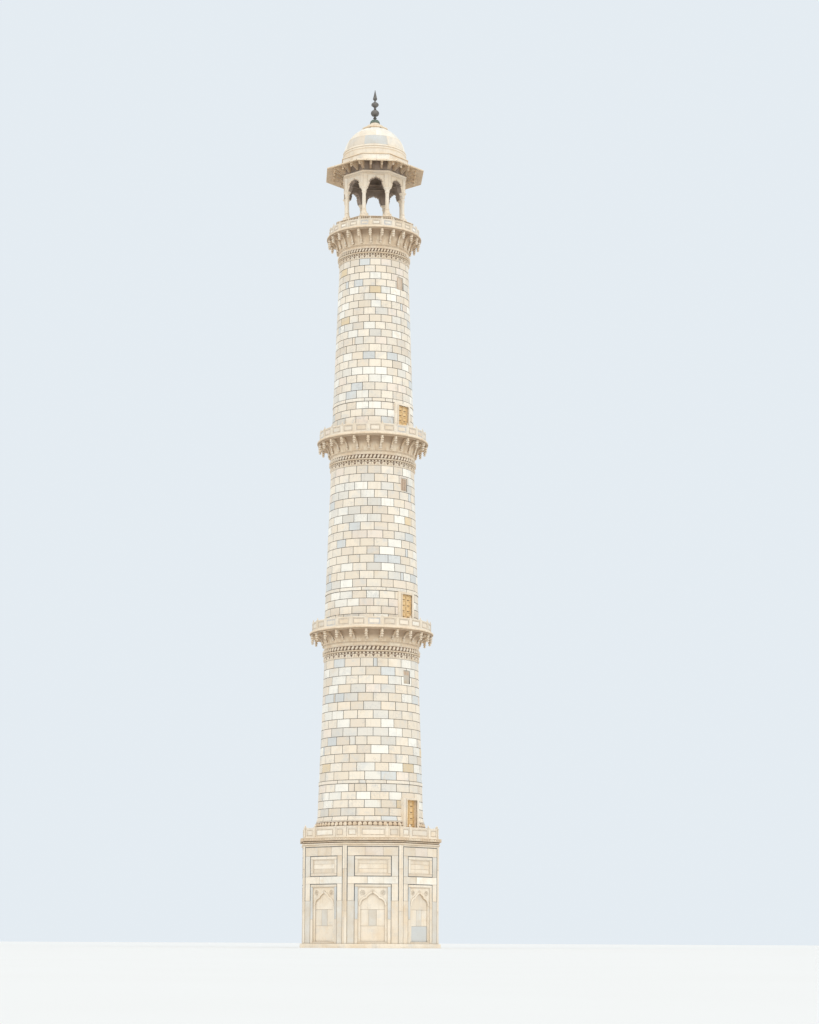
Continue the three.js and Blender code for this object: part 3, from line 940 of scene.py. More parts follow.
def on_side(point):
    """Which side of the octagon a point is on, and how far along that side."""
    side = round((azimuth(point) - DOOR_SIDE) / (2 * HALF_SIDE)) % SIDES
    angle = radians(2 * HALF_SIDE * side)
    return side, point.x * cos(angle) + point.y * sin(angle)


def slabs(name, table, front, thickness, gap, coat, edge=SOFT_EDGE):
    """Flat slabs on the -Y side, a joint apart."""
    laid = []
    for number, (x0, x1, z0, z1, _) in enumerate(table):
        outline = rectangle(x0 + gap, x1 - gap, z0 + gap, z1 - gap)
        laid.append(coated(plate(f"{name}_{number}", outline, front, thickness, edge), coat))
    return joined(name, laid)


def arch_path(steps=8):
    """Right half of the blind arch, from its springing to its point."""
    arch = BLIND_ARCH
    low = curve(
        (arch.half, arch.springing), (arch.half, arch.cusp_z - 0.06), (arch.cusp_x, arch.cusp_z), steps,
    )
    high = curve((arch.cusp_x, arch.cusp_z), (arch.cusp_x - 0.03, arch.apex - 0.14), (0, arch.apex), steps)
    return low + high[1:]


def beside(path, distance):
    """A path that runs beside another at a distance to its right."""
    moved = []
    for number, (x, z) in enumerate(path):
        x0, z0 = path[max(number - 1, 0)]
        x1, z1 = path[min(number + 1, len(path) - 1)]
        length = hypot(x1 - x0, z1 - z0)
        moved.append((x + distance * (z1 - z0) / length, z - distance * (x1 - x0) / length))
    return moved


def leaf_spray(x, y, z, size):
    """A small palmette of five leaves."""
    leaves = []
    for lean in (-64, -34, 0, 34, 64):
        leaf = bead(
            "leaf", 0, 0, size * 0.62, size * 0.17, size * 0.16, size * (0.42 - abs(lean) / 400), 8, 5,
        )
        turn(lean, "Y")
        shift(x, y, z)
        leaves.append(leaf)
    return joined("palmette", leaves)


def rosette(x, y, z, size):
    """A carved round rosette: a double ring round a lattice of petals."""
    parts = []
    for radius, tube in ((1.0, 0.1), (0.8, 0.07)):
        ring = added(
            "rosette_ring", bpy.ops.mesh.primitive_torus_add, major_segments=28, minor_segments=6,
            major_radius=size * radius, minor_radius=size * tube, rotation=(pi / 2, 0, 0),
        )
        shift(x, y, z)
        parts.append(ring)
    for petals, reach, wide, long in ((8, 0.52, 0.1, 0.22), (8, 0.26, 0.07, 0.12)):
        for petal in range(petals):
            leaf = bead("petal", 0, 0, size * reach, size * wide, size * 0.09, size * long, 6, 5)
            turn(360 * (petal + (0.5 if reach < 0.3 else 0)) / petals, "Y")
            shift(x, y, z)
            parts.append(leaf)
    parts.append(bead("boss", x, y, z, size * 0.1, size * 0.12, size * 0.1))
    return joined("rosette", parts)


def build_base_octagon(settings, coats):
    """The mass of the base: core with sunk panels, marble cladding, inlay and blind arches."""
    dice = random.Random(SEED.base)
    core = octagon("base_octagon", [
        (0, 0), (BASE.foot - 0.01, 0), (BASE.foot, 0.02),
        *near(BASE.foot, BASE.foot_top, (0, -0.03), (-0.03, 0)),
        (BASE.flat - 0.025, BASE.foot_top), (BASE.flat - 0.025, BASE.top), (0, BASE.top),
    ])
    half = PANEL.half
    upper = box("upper_cut", -half, half, -OUTSIDE, -BASE.flat + 0.06, PANEL.upper_low, PANEL.upper_top)
    lower = box("lower_cut", -half, half, -OUTSIDE, -BASE.flat + 0.12, PANEL.low, PANEL.top)
    core = coated(combined(core, around(joined("panel_cuts", [upper, lower]), SIDES)), coats.trim)
    face = -BASE.flat
    arch = [(BLIND_ARCH.half, PANEL.low), *arch_path()]
    outline = archway(half, PANEL.low, PANEL.top, arch)
    spandrel = plate("spandrel", outline, face + PANEL.depth, 0.08, 0.012, 2)
    rim = arch_path()
    band = mirrored(plate("arch_band", rim + beside(rim, 0.1)[::-1], face + 0.02, 0.03, 0.01))
    carving = [leaf_spray(0, face + 0.035, BLIND_ARCH.apex + 0.02, 0.15)]
    carving += [rosette(x, face + 0.04, 2.88, 0.13) for x in (-0.53, 0.53)]
    mouldings = [
        framing("panel_moulding", -half, half, low, top, width, face + 0.012, 0.04, 0.01)
        for low, top, width in ((PANEL.upper_low, PANEL.upper_top, 0.035), (PANEL.low, PANEL.top, 0.03))
    ]
    gap = settings.slab_joint / 2
    side = [
        slabs("cladding", CLADDING, face, 0.03, gap, coats.trim),
        slabs("panel_slabs", PANEL_SLABS, face + PANEL.depth, 0.03, gap, coats.trim),
        slabs("niche_slabs", NICHE_SLABS, face + PANEL.arch_depth, 0.03, gap, coats.trim),
        slabs("inlay", INLAY, face - 0.001, 0.03, 0.001, coats.slate, 0.002),
        slabs("fill", FILL, face + 0.006, 0.02, 0.002, coats.sand, 0.002),
        *(coated(part, coats.trim) for part in (spandrel, band, *carving, *mouldings)),
    ]
    whole = joined("base_octagon", [core, around(joined("base_side", side), SIDES)])
    layers = [
        (face + PANEL.depth - 0.01, CLADDING), (face + PANEL.arch_depth - 0.01, PANEL_SLABS),
        (9.0, NICHE_SLABS),
    ]
    stones = {}

    def stone_at(point):
        number, x = on_side(point)
        depth = -on_flat(point)
        table = next(table for limit, table in layers if depth < limit)
        for x0, x1, z0, z1, stone in table:
            if x0 <= x <= x1 and z0 <= point.z <= z1:
                key = (number, x0, z0, stone)
                if key not in stones:
                    stones[key] = picked(settings.stone, dice, stone if dice.random() < 0.9 else "ivory")
                return stones[key]
        return (*settings.stone.cream, 0.31)

    finished(stoned(whole, stone_at), "marble", "base_octagon")


def build_base_cornice(settings, coats):
    """The cornice of the base: torus, fillet and a slab with a band of scrolls."""
    low, band = BASE.band_top, BASE.band
    body = octagon("base_cornice", [
        (0, BASE.top), (BASE.flat, BASE.top), *arc(BASE.torus - 0.045, BASE.top + 0.05, 0.045, -90, 90, 8),
        *near(band, BASE.torus_top, (-0.06, -0.005), (-0.06, 0.02), (0, 0.03)),
        *near(band, low, (0, -0.035), (-0.06, -0.025), (-0.06, 0)),
        *near(BASE.slab, low, (-0.02, 0), (0, 0.012), (0, 0.035), (-0.016, 0.045)),
        *near(BASE.slab, BASE.deck, (-0.016, -0.035), (0, -0.025), (0, -0.01), (-0.012, 0)), (0, BASE.deck),
    ])
    scroll = plate("scroll_leaf", [
        (0, 0), (0.04, 0.008), (0.07, 0.035), (0.05, 0.06), (0.025, 0.052), (0.018, 0.07), (0, 0.095),
        (-0.018, 0.07), (-0.025, 0.052), (-0.05, 0.06), (-0.07, 0.035), (-0.04, 0.008),
    ], -BASE.slab + 0.002, 0.03, SOFT_EDGE)
    berry = bead("scroll_berry", 0.095, -BASE.slab + 0.012, 0.05, 0.022, 0.014, 0.026, 6, 5)
    motif = joined("scroll", [scroll, berry])
    edit(motif)
    shift(0, 0, low + 0.045)
    scrolls = around(row(motif, 16, 0.19), SIDES)
    edit(coated(body, coats.carved))
    coat_where(body, coats.trim, lambda face: middle(face).z < BASE.torus_top - 0.01)
    # Painted shadow: near black on the backs of the grooves.
    coat_where(body, coats.pit, lambda face: abs(face.normal.z) < 0.5
               and abs(on_flat(middle(face)) - band + 0.06) < 0.01)
    # Painted shade: brown on the undercut of the slab.
    coat_where(body, coats.hollow, lambda face: abs(on_flat(middle(face)) - BASE.slab + 0.016) < 0.002)
    whole = joined("base_cornice", [body, coated(scrolls, coats.carved)])
    finished(of_stone(whole, settings.stone.ivory, 0.4), "weathered_marble", "base_cornice")


def on_flat(point):
    """Distance of a point from the axis, square to the octagon's side it is on."""
    side = round((azimuth(point) - DOOR_SIDE) / (2 * HALF_SIDE))
    angle = radians(DOOR_SIDE + 2 * HALF_SIDE * side)
    return point.x * cos(angle) + point.y * sin(angle)


def panelled(x0, x1, z0, z1, front, back, border, groove, coats):
    """A parapet panel with a raised field in a sunk line on both faces."""
    piece = coated(box("panel", x0, x1, front, back, z0, z1), coats.trim)
    edit(piece)
    select_where("FACE", lambda face: abs(face.normal.y) > 0.9)
    inset(border, 0)
    # The sunk line takes a darker colour as painted shade.
    coat_selected(piece, coats.groove)
    inset(groove * 0.15, -0.016)
    inset(groove * 0.7, 0)
    inset(groove * 0.15, 0.013)
    coat_selected(piece, coats.trim)
    return piece


def field_stone(x, z, area, border, groove, stone, line, frame_stone):
    """The stone of a parapet panel at a spot: its frame, its field, or the painted shade of its sunk line."""
    x0, x1, z0, z1 = area
    distance = min(x - x0, x1 - x, z - z0, z1 - z) - border
    if distance < 0:
        return frame_stone
    return line if distance < groove else stone


def bud_post(name, half, low, top, y, height=0.16):
    """A square post with a pointed bud, on the -Y side."""
    shaft = box(name, -half, half, y - half, y + half, low, top)
    select_where("FACE", lambda face: abs(face.normal.z) < 0.1)
    inset(half * 0.3, 0, use_individual=True)
    inset(half * 0.08, -half * 0.1, use_individual=True)
    cap = box("cap", -half - 0.012, half + 0.012, y - half - 0.012, y + half + 0.012, top, top + 0.03)
    select_where("EDGE", sharp)
    bevel(SOFT_EDGE)
    bud = spun("bud", [
        (0, 0), (half * 0.6, 0), (half * 0.35, height * 0.14), (half * 0.65, height * 0.34),
        (half * 0.6, height * 0.48), (half * 0.28, height * 0.72), (half * 0.14, height * 0.86), (0, height),
    ], 8)
    shift(0, y, top + 0.03)
    return joined(name, [shaft, cap, bud])


def coping_section(inner, outer, top, height, edge):
    """Section of the rail on a parapet, with its upper edges taken off."""
    return [
        (inner, top - height), (outer, top - height), *near(outer, top, (0, -0.008), (-edge, 0)),
        *near(inner, top, (edge, 0), (0, -0.008)),
    ]


def build_base_parapet(settings, coats):
    """The parapet of the base: three panels a side between posts with buds."""
    dice = random.Random(SEED.base_parapet)
    rail = BASE_PARAPET
    y = -(rail.outer + rail.inner) / 2
    corner = -y * SIDE_SLOPE
    posts = (-corner, -rail.post_x, rail.post_x, corner)
    fields = [(x0 + 0.06, x1 - 0.06) for x0, x1 in zip(posts, posts[1:])]
    low, high = BASE.deck + 0.02, rail.top - 0.03
    front, back = -rail.outer + 0.012, -rail.inner - 0.012
    side = [panelled(*field, low, high, front, back, *rail.line, coats) for field in fields]
    for x in (-rail.post_x, rail.post_x):
        side.append(coated(bud_post("post", 0.07, BASE.deck, rail.top, y), coats.trim))
        edit(side[-1])
        shift(x)
    corner_post = coated(bud_post("post", 0.07, BASE.deck, rail.top, y * CORNER), coats.trim)
    corners = around(corner_post, SIDES, HALF_SIDE)
    coping = octagon("coping", coping_section(rail.inner, rail.outer, rail.top, 0.05, 0.01), spun_ring)
    foot = octagon("foot", [
        (rail.inner, BASE.deck), *near(rail.outer, BASE.deck, (0, 0), (0, 0.04), (-0.012, 0.055)),
        *near(rail.inner, BASE.deck, (0.012, 0.055), (0, 0.04)),
    ], spun_ring)
    sides = around(joined("side", side), SIDES)
    whole = joined("base_parapet", [sides, corners, coated(coping, coats.trim), coated(foot, coats.trim)])
    stones = [[picked(settings.stone, dice) for _ in fields] for _ in range(SIDES)]
    plain = (*settings.stone.cream, 0.62)

    def stone_at(point):
        number, x = on_side(point)
        for field, (x0, x1) in enumerate(fields):
            if x0 < x < x1:
                stone = stones[number][field]
                # The sunk line's colour is painted shade.
                line = (*settings.stone.line, stone[3])
                return field_stone(x, point.z, (x0, x1, low, high), *rail.line, stone, line, plain)
        return plain

    finished(stoned(whole, stone_at), "marble", "base_parapet")


# Shaft

def opening(half, low, high):
    """What is cut out of a wall on its door side."""
    return box("opening", -half, half, -OUTSIDE, -0.5, low, high)


def door_opening(storey):
    """What is cut out of a wall for its door frame."""
    return opening(DOOR.half + DOOR.jamb, storey.floor - 1, storey.door_top + DOOR.jamb / 2)


def build_shaft_foot(settings, coats):
    """The moulded ring at the foot of the shaft, with its band of petals."""
    storey = STOREYS[0]
    foot = SHAFT_FOOT
    body = spun_ring("shaft_foot", [
        (storey.inner, storey.floor), (foot.radius, storey.floor),
        (foot.radius, 6.32), (foot.radius - 0.012, 6.335), (foot.radius - 0.012, 6.345), (foot.radius, 6.36),
        (foot.radius - 0.015, foot.plain_top),
        (foot.neck + 0.03, foot.plain_top + 0.02), (foot.neck + 0.01, foot.petal_top),
        (foot.neck, storey.foot),
        (storey.inner, storey.foot),
    ], 136)
    half = pi * foot.neck / foot.petals - 0.018
    petal = plate("petal", [
        *arc(0, 0.2 - half, half, 0, 180, 8), (-half, 0.04), (-half * 0.6, 0.01), (half * 0.6, 0.01),
        (half, 0.04),
    ], -0.02, 0.045, 0.014, 2)
    turn(-9, "X")
    shift(0, -foot.neck - 0.05, foot.plain_top + 0.012)
    petals = around(petal, foot.petals)
    edit(coated(body, coats.trim))
    # Painted shade: near black on the ground behind the petals.
    coat_where(body, coats.pit, lambda face: foot.plain_top < middle(face).z < foot.petal_top + 0.01)
    coated(petals, coats.carved)
    whole = joined("shaft_foot", [combined(part, door_opening(storey)) for part in (body, petals)])
    finished(of_stone(whole, settings.stone.cream, 0.2), "marble", "shaft_foot")


def build_walls(settings, coats):
    """The block masonry of the shaft, three storeys in two stretches each."""
    for number, storey in enumerate(STOREYS):
        for part, heights in (("lower", storey.low_courses), ("upper", storey.high_courses)):
            name = f"{storey.name}_storey_{part}_wall"
            piece, stone_at = masonry(
                name, heights, lambda z: wall_radius(storey, z), storey.inner, settings.blocks,
                settings, coats, SEED.walls + number,
            )
            if part == "lower":
                cutter = door_opening(storey)
            else:
                cutter = opening(WINDOW.half, storey.window, storey.window + WINDOW.height)
            finished(stoned(combined(piece, cutter), stone_at), "marble", name)


def build_string_courses(settings, coats):
    """The plain projecting course of each storey, in long stones."""
    for number, storey in enumerate(STOREYS):
        name = f"{storey.name}_storey_string_course"
        radius = wall_radius(storey, storey.string) + STRING.proud
        low, high = storey.string, storey.string + STRING.height
        piece, stone_at = masonry(
            name, [low, high], lambda _: radius - 0.006, storey.inner, STRING.blocks,
            settings, coats, SEED.strings + number,
        )
        cream = Vector(settings.stone.cream)

        def pale_stone_at(point):
            stone = stone_at(point)
            return (*(Vector(stone[:3]) * 0.4 + cream * 0.6), stone[3])

        finished(stoned(piece, pale_stone_at), "marble", name)


def build_doors(settings, coats):
    """Stone door frames that follow the round of the shaft, and their ochre leaves."""
    for storey in STOREYS:
        half = DOOR.half + DOOR.jamb
        top = storey.door_top + DOOR.jamb / 2
        face = max(storey.foot_radius, SHAFT_FOOT.radius if storey is STOREYS[0] else 0) + DOOR.proud
        doorway = (DOOR.half, storey.door_top)
        surround = portal(storey.floor, half, top, *doorway)
        surround = plate("surround", surround, -OUTSIDE, OUTSIDE - storey.inner)
        drum = spun("drum", rectangle(0, face, storey.floor, top), 128)
        surround = combined(surround, drum, "INTERSECT")
        outline = portal(storey.floor, DOOR.half + DOOR.lip, storey.door_top + DOOR.lip, *doorway)
        lip = plate("lip", outline, -face - 0.012, 0.08, 0.012)
        name = f"{storey.name}_storey_door_frame"
        surround = coated(joined(name, [surround, lip]), coats.trim)
        finished(of_stone(surround, settings.stone.cream, 0.7), "marble", name)
        build_door_leaf(storey, coats)


def build_door_leaf(storey, coats):
    """A leaf of two columns of sunk panels between stiles and rails, with a dark slot at each panel's foot: a
    painted shadow.
    """
    half = DOOR.half - 0.001
    low, high = storey.floor, storey.door_top - 0.001
    front = DOOR.recess - foot_line(storey)
    stile = DOOR.stile
    pitch = (high - low - stile) / DOOR.rows
    width = half - 1.5 * stile
    board = box("board", -half, half, front + 0.022, front + 0.07, low, high)
    parts, shadow_slots = [board], []
    for x0, x1 in ((-half, -half + stile), (-stile / 2, stile / 2), (half - stile, half)):
        parts.append(plate("stile", rectangle(x0, x1, low, high), front, 0.03, SOFT_EDGE))
    for rail in range(DOOR.rows + 1):
        z = low + rail * pitch
        outline = rectangle(-half + stile, half - stile, z, z + stile)
        parts.append(plate("rail", outline, front + 0.004, 0.026, SOFT_EDGE))
        if rail == DOOR.rows:
            continue
        for x0 in (-half + stile, stile / 2):
            field = rectangle(x0 + 0.03, x0 + width - 0.03, z + stile + 0.05, z + pitch - 0.035)
            parts.append(plate("field", field, front + 0.01, 0.02, 0.016, 2))
            # A dark plate under each field: a painted shadow.
            slot = rectangle(x0 + width * 0.2, x0 + width * 0.72, z + stile + 0.004, z + stile + 0.042)
            shadow_slots.append(coated(plate("slot", slot, front + 0.018, 0.01), coats.pit))
    leaf = joined(f"{storey.name}_storey_door", [coated(joined("leaf", parts), coats.door), *shadow_slots])
    finished(leaf, "door_wood", f"{storey.name}_storey_door")


def foot_line(storey):
    """The radius that a storey's wall would have at its floor."""
    slope = (storey.foot_radius - storey.head_radius) / (storey.head - storey.foot)
    return storey.foot_radius + (storey.foot - storey.floor) * slope


def build_windows(settings, coats):
    """The window of each storey: a board with two slots, or upright boards in a light frame."""
    for storey in STOREYS:
        half, low, high = WINDOW.half - 0.001, storey.window, storey.window + WINDOW.height - 0.001
        front = WINDOW.recess - wall_radius(storey, storey.window)
        back = front + 0.08
        parts = {"sand": [], "window": [], "trim": [], "pit": []}
        if storey.name == "first":
            board = rectangle(-half, half, low, high)
            parts["sand"].append(plate("board", board, front, back - front, SOFT_EDGE))
            for x0, x1 in ((-0.19, -0.03), (0.03, 0.19)):
                slot = rectangle(x0, x1, high - 0.24, high - 0.06)
                parts["window"].append(plate("opening", slot, front - 0.002, 0.02))
        else:
            # A dark ground behind the bars: painted shade in the gaps.
            parts["pit"].append(box("ground", -half, half, front + 0.02, back, low, high))
            parts["trim"].append(framing("edge", -half, half, low, high, WINDOW.edge, front, 0.04, SOFT_EDGE))
            bars = 3 if storey.name == "second" else 4
            pitch = (2 * half - 2 * WINDOW.edge) / bars
            foot, head = low + WINDOW.edge, high - WINDOW.edge
            for number in range(bars):
                x = -half + WINDOW.edge + number * pitch
                bar = rectangle(x + WINDOW.gap, x + pitch - WINDOW.gap, foot, head)
                parts["window"].append(plate("bar", bar, front + 0.006, 0.03, SOFT_EDGE))
                if number and storey.name == "third":
                    rib = rectangle(x - WINDOW.rib, x + WINDOW.rib, foot, head)
                    parts["trim"].append(plate("rib", rib, front, 0.03))
        made = [
            coated(joined(kind, pieces), getattr(coats, kind)) for kind, pieces in parts.items() if pieces
        ]
        name = f"{storey.name}_storey_window"
        finished(of_stone(joined(name, made), settings.stone.cream, 0.1), "window_screen", name)


# Balconies

PARAPET_STONES = ("cream", "cream", "white", "ivory", "rose")
PANEL_LINE = (0.058, 0.07)  # distance of the sunk line from a panel's edge, and its width


def build_corbels(settings, coats):
    """Under each balcony: carved band, rope, plain band, hollow moulding and brackets."""
    for storey in STOREYS:
        wall, head, high = storey.head_radius, storey.head, storey.band_top - storey.head
        edge = storey.slab_radius - 0.05
        gap_low, gap_high = head + 0.53 * high, head + 0.83 * high
        body = spun_ring("corbel_body", [
            (storey.inner, head), (wall + 0.02, head), *near(wall, gap_low, (0.022, 0), (0.005, 0.01)),
            *near(wall, gap_high, (0.005, -0.01), (0.03, 0)),
            *arc(wall + 0.075, storey.band_top - 0.025, 0.028, -90, 90, 4),
            (wall + 0.04, storey.band_top + 0.004), (wall + 0.05, (storey.band_top + storey.rope_top) / 2),
            *near(wall, storey.rope_top, (0.03, 0), (0.05, 0.01), (0.05, 0.04), (0.03, 0.05)),
            (wall + 0.03, storey.plain_top - 0.01),
            *arc(wall + 0.045, storey.plain_top + 0.015, 0.02, -90, 90, 4),
            *curve(
                (wall + 0.06, storey.plain_top + 0.05), (wall + 0.1, storey.slab_low - 0.16),
                (storey.slab_radius - 0.34, storey.slab_low), 10,
            ),
            (storey.inner, storey.slab_low),
        ], 144)
        edit(coated(body, coats.trim))

        def between(face, low, top):
            return low < middle(face).z < top and hypot(*middle(face).xy) > wall - 0.01

        # Painted shade: near black on the rope's ground and in the band's gap, brown on the hollow moulding.
        for low, top, coat in (
            (storey.band_top, storey.rope_top, coats.pit), (gap_low + 0.005, gap_high - 0.005, coats.pit),
            (gap_high + 0.01, storey.band_top, coats.carved),
            (storey.rope_top + 0.035, storey.plain_top + 0.04, coats.carved),
            (storey.plain_top + 0.04, storey.slab_low + 0.01, coats.hollow),
        ):
            coat_where(body, coat, lambda face: between(face, low, top))
        bands = [carved_band(storey, coats), coated(rope_beads(storey), coats.trim)]
        under = [brackets(storey, edge, coats), coated(pendants(storey, edge), coats.trim)]
        name = f"{storey.balcony}_balcony_corbels"
        piece = joined(name, [body, *bands, *under])
        finished(of_stone(piece, settings.stone.ivory, 0.5), "weathered_marble", name)


def carved_band(storey, coats):
    """Forty carved units: a dark plate of painted shade between two lobes, under a row of scallops."""
    radius = storey.head_radius + 0.02
    count = 40
    half = pi * radius / count
    high = storey.band_top - storey.head
    lobes = [
        bead("lobe", half * place, -radius, high * 0.3, half * 0.29, 0.045, high * 0.21)
        for place in (-0.67, 0.67)
    ]
    lobes += [
        bead("scallop", half * place, -radius + 0.01, high * 0.68, half * 0.34, 0.05, high * 0.14, 8, 5)
        for place in (-0.5, 0.5)
    ]
    # The drilled hole is a dark plate of painted shade.
    drill = [(-half * 0.38, high * 0.46), (0, high * 0.08), (half * 0.38, high * 0.46)]
    pit = coated(plate("pit", drill, -radius - 0.006, 0.02), coats.pit)
    motif = joined("band", [coated(joined("lobes", lobes), coats.trim), pit])
    edit(motif)
    shift(0, 0, storey.head)
    return around(motif, count)


def rope_beads(storey):
    """The rope moulding: slanted beads side by side."""
    count = 72
    radius = storey.head_radius + 0.045
    high = storey.rope_top - storey.band_top
    z = (storey.rope_top + storey.band_top) / 2
    bead("rope_bead", 0, -radius, z, pi * radius / count * 0.66, 0.07, high * 0.54)
    turn(30, "Y", (0, -radius, z))
    return around(bpy.context.edit_object, count)


def brackets(storey, edge, coats):
    """Twenty-four S-shaped brackets: a thin rib, a round foot and a curl at the tip."""
    wall = storey.head_radius
    foot = wall + 0.165
    low = storey.slab_low - 0.15
    outline = [
        (wall - 0.05, storey.bracket_foot + 0.02), (foot - 0.05, storey.bracket_foot),
        *curve((foot, storey.bracket_foot + 0.02), (foot + 0.03, low), (edge - 0.16, low), 10),
        *arc(edge - 0.065, low + 0.03, 0.06, 200, 360, 5), (edge, storey.slab_low),
        (wall - 0.05, storey.slab_low),
    ]
    blade = coated(plate("blade", outline, -0.034, 0.068, 0.01), coats.carved)
    foot_bead = bead("foot", foot - 0.03, 0, storey.bracket_foot + 0.04, 0.065, 0.085, 0.065)
    leaf = bead("leaf", foot + 0.01, 0, storey.bracket_foot + 0.17, 0.035, 0.06, 0.09)
    curl = bead("curl", edge - 0.07, 0, low + 0.04, 0.06, 0.075, 0.06)
    beads = coated(joined("beads", [foot_bead, leaf, curl]), coats.trim)
    return around(joined("bracket", [blade, beads]), BAYS, BAY / 2)


PENDANT_PROFILE = [
    (0, 0), (0.09, 0), (0.095, 0.07), (0.05, 0.11), (0.05, 0.14), (0.092, 0.2), (0.1, 0.28), (0.085, 0.35),
    (0.045, 0.4), (0.045, 0.44), (0.085, 0.5), (0.095, 0.58), (0.078, 0.66), (0.038, 0.7), (0.038, 0.74),
    (0.068, 0.79), (0.074, 0.86), (0.05, 0.93), (0, 1),
]


def pendants(storey, edge):
    """The string of beads that hangs from the outer end of each bracket."""
    top = storey.slab_low - 0.02
    drop = top - storey.pendant
    spun("pendant", [(radius, top - share * drop) for radius, share in PENDANT_PROFILE], 8)
    shift(edge - 0.09)
    return around(bpy.context.edit_object, BAYS, BAY / 2)


def build_balcony_floors(settings, coats):
    """The round-edged slab of each balcony, pale on top, tan on its edge and brown below as painted shade."""
    for storey in STOREYS:
        low, high, radius = storey.slab_low, storey.slab_top, storey.slab_radius
        half = (high - low) / 2
        name = f"{storey.balcony}_balcony_floor"
        piece = spun(name, [
            (0, low), (radius - 0.09, low), (radius - 0.085, low + 0.02),
            *arc(radius - half + 0.01, low + half + 0.01, half - 0.01, -90, 90, 8), (0, high),
        ], 144)
        edit(coated(piece, coats.carved))
        coat_where(piece, coats.trim, lambda face: face.normal.z > 0.8)
        # Painted shade: brown on the faces that look down.
        coat_where(piece, coats.hollow, lambda face: face.normal.z < -0.1)
        finished(of_stone(piece, settings.stone.ivory, 0.5), "weathered_marble", name)


def build_parapets(settings, coats):
    """The parapet of each balcony: 24 framed panels between posts with buds."""
    for number, storey in enumerate(STOREYS):
        dice = random.Random(SEED.parapets + number)
        outer = storey.slab_radius - 0.12
        inner = outer - 0.1
        low, top = storey.slab_top, storey.parapet_top
        lean = cos(pi / BAYS)
        half = outer * sin(pi / BAYS) - 0.045
        area = (-half, half, low + 0.02, top - 0.02)
        panel = panelled(*area, -outer * lean + 0.01, -inner * lean - 0.01, *PANEL_LINE, coats)
        post = bud_post("post", 0.045, low, top, -(outer + inner) / 2, 0.14)
        coping = spun_ring("coping", coping_section(inner, outer, top, 0.045, 0.008), BAYS, BAY / 2)
        foot = spun_ring("foot", rectangle(inner, outer, low, low + 0.05), BAYS, BAY / 2)
        name = f"{storey.balcony}_balcony_parapet"
        plain = coated(joined("rails", [around(post, BAYS, BAY / 2), coping, foot]), coats.trim)
        whole = joined(name, [around(panel, BAYS), plain])
        stones = [picked(settings.stone, dice, dice.choice(PARAPET_STONES)) for _ in range(BAYS)]
        # Colours of painted shade for the sunk lines, some of them blue-grey.
        shades = (settings.stone.line, settings.stone.line, settings.stone.line_blue)
        lines = [dice.choice(shades) for _ in range(BAYS)]
        frame_stone = (*settings.stone.cream, 0.62)

        def stone_at(point):
            step = (azimuth(point) - DOOR_SIDE) % 360 / BAY
            bay = round(step)
            x = hypot(point.x, point.y) * sin(radians((step - bay) * BAY))
            stone = stones[bay % BAYS]
            line = (*lines[bay % BAYS], stone[3])
            return field_stone(x, point.z, area, *PANEL_LINE, stone, line, frame_stone)

        finished(stoned(whole, stone_at), "marble", name)


# Pavilion

def build_plinth(settings, coats):
    """The octagonal plinth under the columns: plain sides and a carved band."""
    low, band, top, flat = STOREYS[-1].slab_top, PLINTH.band_low, PLINTH.top, PLINTH.flat
    body = octagon("body", [
        (0, low), (flat, low), *near(flat, band, (0, -0.02), (0.035, 0), (0.035, 0.02), (0.02, 0.025)),
        *near(flat, top, (0.02, -0.035), (0.05, -0.03), (0.05, -0.008), (0.04, 0)), (0, top),
    ])
    edit(coated(body, coats.trim))
    coat_where(body, coats.carved, lambda face: middle(face).z > band - 0.01 and face.normal.z < 0.5)
    high = top - 0.035 - band - 0.025
    outline = [(-0.045, band + 0.025), (0, band + 0.025 + high), (0.045, band + 0.025)]
    # The teeth are dark plates: painted shade in the carved band.
    teeth = row(coated(plate("tooth", outline, -flat - 0.024, 0.02), coats.pit), 15, 0.11)
    whole = joined("pavilion_plinth", [body, around(teeth, SIDES)])
    finished(of_stone(whole, settings.stone.cream, 0.2), "marble", "pavilion_plinth")


COLUMN_FOOT = [
    (0, 0), (0.25, 0), (0.26, 0.015), (0.26, 0.06), (0.235, 0.075), (0.25, 0.1), (0.245, 0.16), (0.22, 0.24),
    (0.175, 0.33), (0.14, 0.42), (0.115, 0.49), (0.112, 0.51), (0.13, 0.54), (0.12, 0.57), (0.106, 0.61),
]
COLUMN_HEAD = [
    (0.1, -0.3), (0.118, -0.28), (0.132, -0.24), (0.132, -0.2), (0.117, -0.17), (0.125, -0.14),
    (0.165, -0.07),
    (0.205, -0.02), (0.21, 0), (0, 0),
]


def build_columns(settings, coats):
    """The eight columns: bell-shaped base with leaves, slim shaft and flared capital."""
    floor, top = PAVILION.floor, PAVILION.springing
    for corner in range(SIDES):
        shaft = spun("shaft", [*near(0, floor, *COLUMN_FOOT), *near(0, top, *COLUMN_HEAD)], 16, 11.25)
        bead("leaf", 0.225, 0, floor + 0.19, 0.03, 0.07, 0.11, 6, 6)
        leaves = around(bpy.context.edit_object, SIDES)
        name = f"pavilion_column_{corner + 1}"
        column = joined(name, [shaft, leaves])
        edit(column)
        shift(0, -PAVILION.column * CORNER)
        turn(HALF_SIDE * (1 + 2 * corner))
        of_stone(coated(column, coats.trim), settings.stone.cream, 0.05 + corner / 10)
        finished(column, "marble", name)


